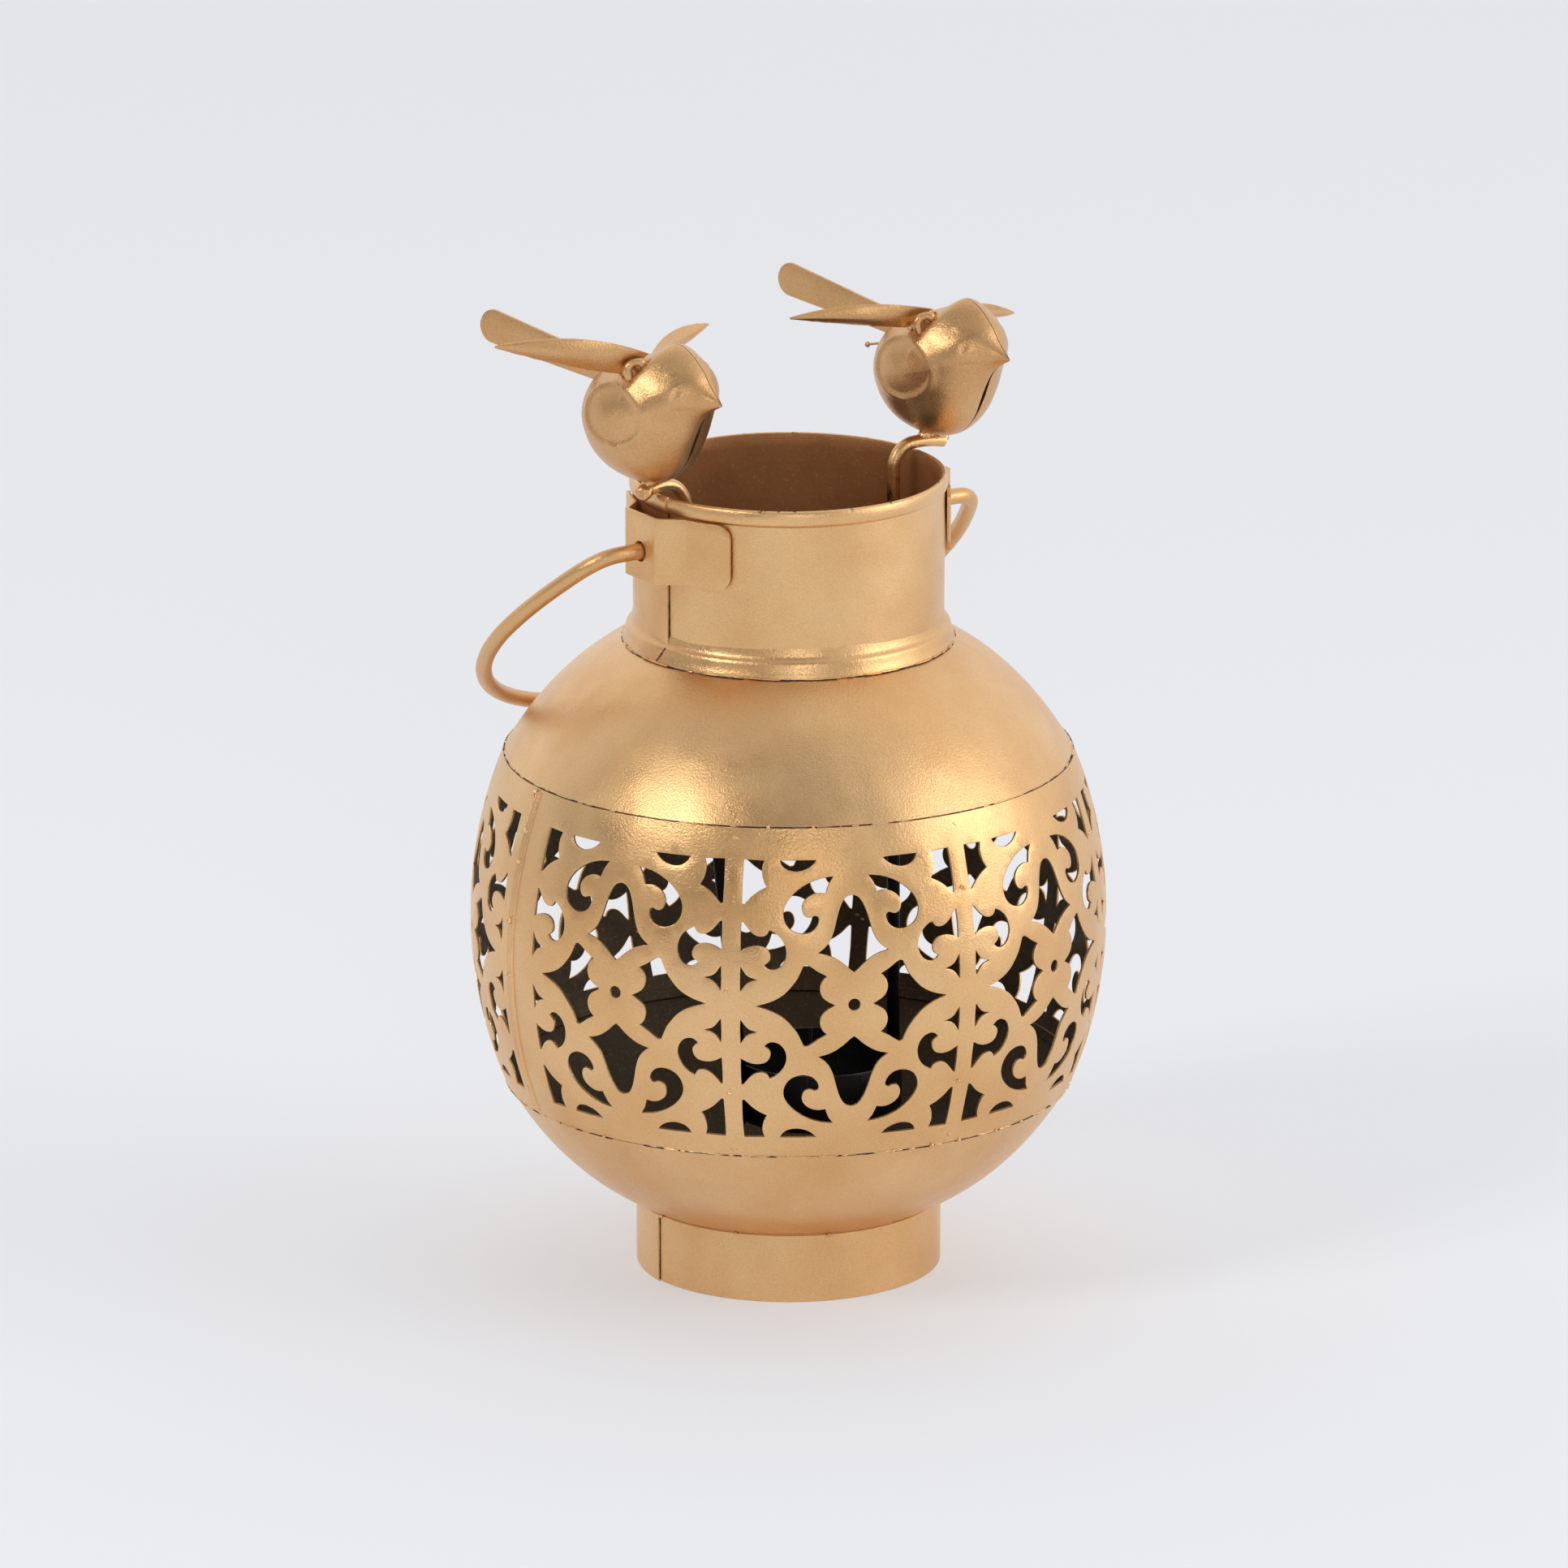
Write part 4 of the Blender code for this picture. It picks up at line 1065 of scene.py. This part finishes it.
def make_posts():
    """The holder's two wires, as points along the handle's line and up, and the cup's welds."""
    bend_centre = (46.5, 247.4)
    bend_radius = 7.5
    right = [(39.3, 46.5), (39.3, 66.0), (39.3, 93.0), (39.3, 120.0), (39.2, 180.0),
             (39.0, 220.0), (39.0, 238.0)]
    for step in range(6):
        angle = math.radians(180 - 18 * step)
        right.append((bend_centre[0] + bend_radius * math.cos(angle),
                      bend_centre[1] + bend_radius * math.sin(angle)))
    right += [(50.0, 254.9), (54.0, 254.5), (57.5, 253.8)]
    left = [(-18.3, 46.5), (-18.3, 66.0), (-24.3, 120.0), (-30.6, 180.0), (-36.2, 236.0),
            (-37.3, 245.6), (-38.9, 250.6), (-42.0, 253.9), (-46.2, 254.9), (-50.0, 254.4),
            (-53.4, 253.4)]
    for name, plan in (("right_post", right), ("left_post", left)):
        line = smooth_run(plan, 5) + [plan[-1]]
        path = [on_line(distance, height) for distance, height in line]
        make_tube(name + "_fine", path, [POST_WIRE] * len(path), ALONG.cross(UP), POST_PAINT,
                  "tealight_holder", "post_gold_to_black", [name])
    cup = ALONG * 0.0105
    reach = 0.0288 - 0.0016
    for name, side in (("cup_weld_right", 1), ("cup_weld_left", -1)):
        base = cup + ALONG * (side * reach)
        route = [base + Vector((0.0, 0.0, height)) for height in (0.050, 0.0515, 0.0585, 0.060)]
        bead_row(name, route, 0.0014, "tealight_holder", "cup_black", CUP_BLACK, 81)


# --- Birds ---------------------------------------------------------------------------------

# A half's edge in the bird's plane of symmetry, without the beak: forward, up
BIRD_OUTLINE = [(24.2, 8.6), (24.3, 10.6), (23.8, 13.0), (22.3, 16.4), (18.8, 20.2), (15.2, 22.6),
                (12.0, 23.4), (9.0, 22.4), (4.5, 19.8), (-5.0, 16.3), (-14.0, 12.8),
                (-20.0, 5.8), (-22.0, -3.0), (-18.4, -12.2), (-11.0, -18.6), (-1.0, -21.3),
                (8.0, -20.2), (14.8, -14.6), (18.8, -7.0), (21.2, -0.5), (22.6, 3.6),
                (23.6, 6.4)]
BEAK_ROOT = (24.2, 7.6)               # forward, up
BEAK_LENGTH = 6.3
BIRD_HALF_WIDTH = 17.5
BIRD_SKIN = 0.8
# Each wing by points of its two edges: leading root and middle, trailing root and middle, tip
WINGS = {
    "left_bird_wing_right": ((5.5, -6.0, 20.6), (-5.0, -28.0, 27.6),
                             (-0.5, -12.2, 14.6), (-8.3, -30.0, 19.4), (-19.1, -50.0, 27.0)),
    "left_bird_wing_left": ((5.5, 6.0, 20.6), (-7.2, 26.6, 15.9),
                            (-9.5, 11.0, 12.9), (-15.6, 29.1, 17.3), (-18.4, 50.0, 15.3)),
    "right_bird_wing_right": ((3.2, -6.0, 19.8), (-7.8, -28.0, 23.0),
                              (-2.8, -11.5, 14.0), (-10.0, -30.0, 17.0), (-16.9, -50.0, 21.1)),
    "right_bird_wing_left": ((3.2, 6.0, 19.8), (-3.4, 26.3, 10.6),
                             (-2.8, 11.5, 14.2), (-9.5, 29.7, 12.8), (-13.9, 50.0, 5.4))}


def bell(x, z, centre, widths):
    """Smooth bump, one at its centre."""
    return math.exp(-((x - centre[0]) / widths[0]) ** 2 - ((z - centre[1]) / widths[1]) ** 2)


def stamped_relief(x, z):
    """Height of the marks pressed into a half: a round boss on the flank, an eye and a brow."""
    boss_radius = 9.6
    away = math.hypot((x + 0.5) / 1.25, z - 2.2)
    boss = 0.75 * math.exp(-((away - boss_radius) / 0.8) ** 2)
    if away < boss_radius:
        boss -= 0.25 * min(1.0, (boss_radius - away) / 1.6)
    eye = 0.5 * bell(x, z, (16.6, 16.4), (1.5, 0.55))
    brow = -0.4 * bell(x, z, (19.6, 10.6), (0.7, 1.8))
    cheek = -0.35 * bell(x, z, (20.4, 5.4), (1.6, 0.7))
    return boss + eye + brow + cheek


def beak_pull(x, depth, z):
    """How far the face is drawn forwards at a point near the beak's line."""
    if x < 8.0:
        return 0.0
    away = math.hypot(depth, (z - BEAK_ROOT[1]) * 0.85)
    return BEAK_LENGTH * math.exp(-(away / 3.0) ** 1.15)


def bird_skin(outline, side, skin, rings):
    """Rings of a stamped half from the seam to the flank, with a crown ridge and a beak."""
    made = []
    for step in range(rings):
        angle = math.pi / 2 * (step / rings) ** 1.15
        ring = []
        for forward, up in outline:
            reach = math.hypot(forward, up)
            scale = (reach - skin) / reach * math.cos(angle)
            ridge = bell(forward, up, (15.5, 21.0), (9.0, 6.0)) * math.cos(angle) ** 2
            bulge = math.sin(angle) ** (1.0 + 0.45 * ridge)
            x, z = forward * scale, up * scale
            parted = 0.12 + 0.62 * bell(forward, up, (19.3, -6.5), (6.0, 7.5)) * math.cos(angle)
            depth = parted + (BIRD_HALF_WIDTH - parted - skin) * bulge
            pull = beak_pull(x + skin, depth, z)
            depth += stamped_relief(x, z) * min(1.0, depth / 4.0)
            ring.append((x + pull, side * depth, z - 0.12 * pull))
        made.append(ring)
    made.append([(0.0, side * (BIRD_HALF_WIDTH - skin - 0.3), 0.0)])
    return made


def make_bird_half(name, side, place):
    outline = smooth_loop(BIRD_OUTLINE, 5)
    count = len(outline)
    rings = 36
    points = []
    faces = []
    starts = []
    picks = []
    for skin in (0.0, BIRD_SKIN):
        first = len(points)
        starts.append(first)
        for ring in bird_skin(outline, side, skin, rings):
            points += ring
        for step in range(rings):
            low = first + step * count
            for index in range(count):
                following = (index + 1) % count
                if step == rings - 1:
                    faces.append([low + index, low + following, low + count])
                else:
                    faces.append([low + index, low + following, low + count + following,
                                  low + count + index])
                picks.append(1 if skin else 0)
    for index in range(count):
        following = (index + 1) % count
        faces.append([starts[0] + index, starts[0] + following, starts[1] + following,
                      starts[1] + index])
        picks.append(0)
    placed = []
    for point in points:
        spot = place @ (Vector(point) * MM)
        placed.append(spot + UP * rippled(spot, 0.006, 0.00008, 2.0))
    # The inner skin gets the globe's dark inside paint: painted shade in the open chest seam,
    # though the birds are gold inside.
    make_piece(name + "_fine", placed, faces, [BIRD_GOLD, GLOBE_INSIDE_AND_BIRD_SHADE], "tealight_holder",
               "bird_gold", [name], sharp=60, picks=picks)


def wing_edge(root, middle, tip, share):
    """Point of the parabola through three points, at a share of the wing's span."""
    weights = ((1 - share) * (1 - 2 * share), 4 * share * (1 - share), share * (2 * share - 1))
    return sum((Vector(point) * weight for point, weight in zip((root, middle, tip), weights)),
               Vector())


def make_wing(name, place):
    """Cupped leaf with a thin rim between the wing's two edges."""
    lead_root, lead_middle, trail_root, trail_middle, tip = WINGS[name]
    outward = 1 if tip[1] > 0 else -1
    spans = 30
    chords = 12
    front = []
    back = []
    for index in range(spans + 1):
        share = 0.975 * index / spans
        lead = wing_edge(lead_root, lead_middle, tip, share)
        trail = wing_edge(trail_root, trail_middle, tip, share)
        ahead = wing_edge(lead_root, lead_middle, tip, share + 0.02) - lead
        normal = ahead.cross(trail - lead).normalized() * -outward
        for chord in range(chords + 1):
            across = chord / chords
            cup = 1.8 * math.sin(math.pi * across) * math.sin(math.pi * share)
            spot = lead.lerp(trail, across) + normal * cup
            edge = 0.16 if chord in (0, chords) or index == spans else 0.0
            ragged = 0.22 * noise.noise(spot * 0.8) if chord == chords else 0.0
            spot += (trail - lead).normalized() * ragged
            for layer, depth in ((front, edge), (back, 0.7 - edge)):
                layer.append(place @ ((spot + normal * depth) * MM))
    faces = sheet_faces(spans, chords, len(front))
    make_piece(name + "_fine", front + back, faces, [BIRD_GOLD], *BIRD, [name], sharp=50)


def make_tail(name, place):
    """Blade in the bird's plane of symmetry, with a round end and a slightly rolled top."""
    slope = math.radians(9.5)
    end = Vector((-63.0, 16.4))
    end_radius = 5.2
    outline = [(-20.5, 6.6), (-14.8, 13.1)]
    for step in range(25):
        angle = math.radians(90 + 7.5 * step) - slope
        outline.append((end.x + end_radius * math.cos(angle),
                        end.y + end_radius * math.sin(angle)))
    top = outline[1:3]
    bottom = [outline[-1], outline[0]]
    grid = []
    columns = 14
    rows = 9
    for column in range(columns + 1):
        share = column / columns
        high = Vector(top[0]).lerp(Vector(top[1]), share)
        low = Vector(bottom[1]).lerp(Vector(bottom[0]), share)
        grid.append([low.lerp(high, row / rows) for row in range(rows + 1)])
    for step in range(1, 9):
        angle = math.pi / 2 * step / 9
        reach = math.sin(angle) * end_radius
        half = math.cos(angle) * end_radius
        axis = Vector((-math.cos(slope), math.sin(slope)))
        across = Vector((math.sin(slope), math.cos(slope)))
        centre = end + axis * reach
        grid.append([centre + across * half * (2 * row / rows - 1) for row in range(rows + 1)])
    points = []
    for layer in (0.45, -0.45):
        for column in grid:
            for row, spot in enumerate(column):
                share = row / rows
                roll = 1.3 * max(0.0, share - 0.72) ** 1.2
                points.append(place @ (Vector((spot.x, layer + roll, spot.y)) * MM))
    faces = sheet_faces(len(grid) - 1, rows, len(grid) * (rows + 1))
    make_piece(name + "_fine", points, faces, [BIRD_GOLD], *BIRD, [name], sharp=50)


def bird_place(centre, yaw):
    return Matrix.Translation(Vector(centre) * MM) @ Matrix.Rotation(yaw, 4, "Z")


def in_world(place, spots):
    """World points from points in millimetres in a bird's own frame."""
    return [place @ (Vector(spot) * MM) for spot in spots]


def make_wing_loop(name, place):
    """Small curled strap under the right wing's root, which pins the wing to the body."""
    plan = [(6.4, -8.2, 16.6), (6.2, -10.4, 18.6), (4.6, -12.6, 18.4), (3.8, -13.6, 16.4),
            (4.4, -13.2, 13.6)]
    path = in_world(place, smooth_run(plan, 5) + [plan[-1]])
    radii = [0.0012 + 0.0005 * math.sin(math.pi * index / (len(path) - 1))
             for index in range(len(path))]
    side = place.to_3x3() @ Vector((1.0, 0.1, 0.2))
    make_tube(name, path, radii, side, BIRD_GOLD, *BIRD, (), 16)


def make_bird(prefix, centre, yaw, seed):
    place = bird_place(centre, yaw)
    make_bird_half(prefix + "_body_right", -1, place)
    make_bird_half(prefix + "_body_left", 1, place)
    make_wing(prefix + "_wing_right", place)
    make_wing(prefix + "_wing_left", place)
    make_tail(prefix + "_tail", place)
    make_wing_loop(prefix + "_wing_loop", place)
    wing_root = [(across, side * depth, up) for side in (-1, 1)
                 for across, depth, up in ((3.4, 6.4, 18.9), (1.6, 9.0, 16.9), (-0.6, 11.8, 14.0))]
    bead_row(prefix + "_wing_weld", in_world(place, wing_root), 0.0009, *BIRD, WELD_GOLD, seed)
    tail_root = [(-20.0, 0.0, 7.0), (-17.8, 0.7, 9.6), (-15.6, -0.7, 12.0)]
    bead_row(prefix + "_tail_weld", in_world(place, tail_root), 0.0009, *BIRD, WELD_GOLD,
             seed + 1)


def make_bird_feet():
    """Weld lumps that join the birds to the arches of the posts."""
    left = [on_line(*spot) for spot in ((-49.8, 256.9), (-52.0, 256.6), (-50.8, 257.4))]
    bead_row("left_bird_foot_weld", left, 0.0015, *BIRD, WELD_GOLD, 91)
    stub = ALONG * -0.0530 + Vector((0.0, -0.0004, 0.2536))
    make_lump("left_bird_foot_stub", stub, 0.0026, BIRD_GOLD, 92, *BIRD)
    right = [on_line(*spot) for spot in ((50.6, 256.9), (53.0, 256.8), (55.6, 256.2),
                                         (57.6, 254.8), (54.2, 257.3), (56.6, 256.6))]
    bead_row("right_bird_foot_weld", right, 0.0018, *BIRD, WELD_GOLD, 93)


def make_pin():
    """Short wire with a ball end that stands out behind the right bird."""
    prefix, centre, yaw, seed = BIRDS[1]
    root, end = in_world(bird_place(centre, yaw), [(-19.5, -3.0, 4.4), (-26.8, -3.4, 2.6)])
    make_tube(prefix + "_pin", [root, root.lerp(end, 0.5), end], [0.0004] * 3, UP, BIRD_GOLD,
              *BIRD, sides=10)
    make_lump(prefix + "_pin_ball", end, 0.0009, BIRD_GOLD, seed, *BIRD)


BIRDS = (("left_bird", (-42.8, -29.0, 278.7), math.radians(-41.0), 100),
         ("right_bird", (46.1, 29.4, 278.3), math.radians(-44.0), 110))


# --- Stage ---------------------------------------------------------------------------------

def make_floor():
    """Plain pale sweep that the lantern stands on. It glows evenly: painted light that thins the
    lantern's shadow on it.
    """
    bpy.ops.mesh.primitive_plane_add(size=30.0, location=(0.0, 0.0, 0.0))
    floor = bpy.context.object
    floor.name = "floor"
    n = Nodes("floor_paint")
    cloud = n.ramp(n.noise(0.6, 2.0), 0.3, 0.7)
    colour = n.mix(cloud, (0.52, 0.528, 0.545), (0.51, 0.52, 0.54))
    n.link(colour, n.shader.inputs["Base Color"])
    n.shader.inputs["Roughness"].default_value = 0.9
    # Even glow of the floor: painted light that fills in the shadow round the lantern.
    n.link(n.ramp(n.noise(0.4), 0.3, 0.7, 0.335, 0.35), n.shader.inputs["Emission Strength"])
    n.shader.inputs["Emission Color"].default_value = (0.985, 0.99, 1.03, 1.0)
    floor.data.materials.append(n.material)


def make_room():
    """Studio walls: bright behind the lantern, dim in front of it and to its left."""
    scene = bpy.context.scene
    scene.world = scene.world or bpy.data.worlds.new("studio")
    scene.world.use_nodes = True
    tree = scene.world.node_tree
    back = tree.nodes["Background"]
    back.inputs["Color"].default_value = (0.97, 0.98, 1.0, 1.0)
    place = tree.nodes.new("ShaderNodeTexCoord")
    across = tree.nodes.new("ShaderNodeVectorMath")
    across.operation = "DOT_PRODUCT"
    across.inputs[1].default_value = (0.447, 0.894, 0.0)
    tree.links.new(place.outputs["Generated"], across.inputs[0])
    room = tree.nodes.new("ShaderNodeMapRange")
    room.interpolation_type = "SMOOTHSTEP"
    limits = {"From Min": -0.85, "From Max": 0.45, "To Min": 0.20, "To Max": 0.98}
    for socket, value in limits.items():
        room.inputs[socket].default_value = value
    tree.links.new(across.outputs["Value"], room.inputs["Value"])
    tree.links.new(room.outputs["Result"], back.inputs["Strength"])


def add_light(name, place, size, power, colour):
    """Round soft light that faces the lantern."""
    light = bpy.data.lights.new(name, "AREA")
    light.shape = "DISK"
    light.size = size
    light.energy = power
    light.color = colour
    lamp = bpy.data.objects.new(name, light)
    lamp.location = place
    aim = Vector((0.0, 0.0, 0.14)) - Vector(place)
    lamp.rotation_euler = aim.to_track_quat("-Z", "Y").to_euler()
    bpy.context.scene.collection.objects.link(lamp)


def make_camera():
    elevation = math.radians(16.03)
    target = Vector((-0.0014, 0.0, 0.1527))
    distance = 4.459
    camera = bpy.data.cameras.new("camera")
    camera.sensor_width = 36.0
    camera.lens = 332.0
    camera.clip_end = 60.0
    rig = bpy.data.objects.new("camera", camera)
    rig.location = target + Vector((0.0, -math.cos(elevation), math.sin(elevation))) * distance
    rig.rotation_euler = (math.pi / 2 - elevation, 0.0, 0.0)
    bpy.context.scene.collection.objects.link(rig)
    bpy.context.scene.camera = rig


make_camera()
make_floor()
make_room()
add_light("key", (-3.1, -2.3, 2.9), 1.5, 58.0, (1.0, 0.98, 0.95))
add_light("front", (0.5, -4.0, 1.4), 1.4, 16.0, (1.0, 0.985, 0.96))
add_light("fill", (3.4, -0.9, 1.5), 2.6, 34.0, (1.0, 0.99, 0.98))
bpy.context.scene.view_settings.view_transform = "Standard"
make_foot()
make_caps()
make_panels()
make_band_seam()
make_skirt()
make_neck()
make_bracket("right_bracket", 1)
make_bracket("left_bracket", -1)
make_handle()
make_posts()
make_cup()
for prefix, centre, yaw, seed in BIRDS:
    make_bird(prefix, centre, yaw, seed)
make_bird_feet()
make_pin()
make_bar_welds()
make_joint_lines()
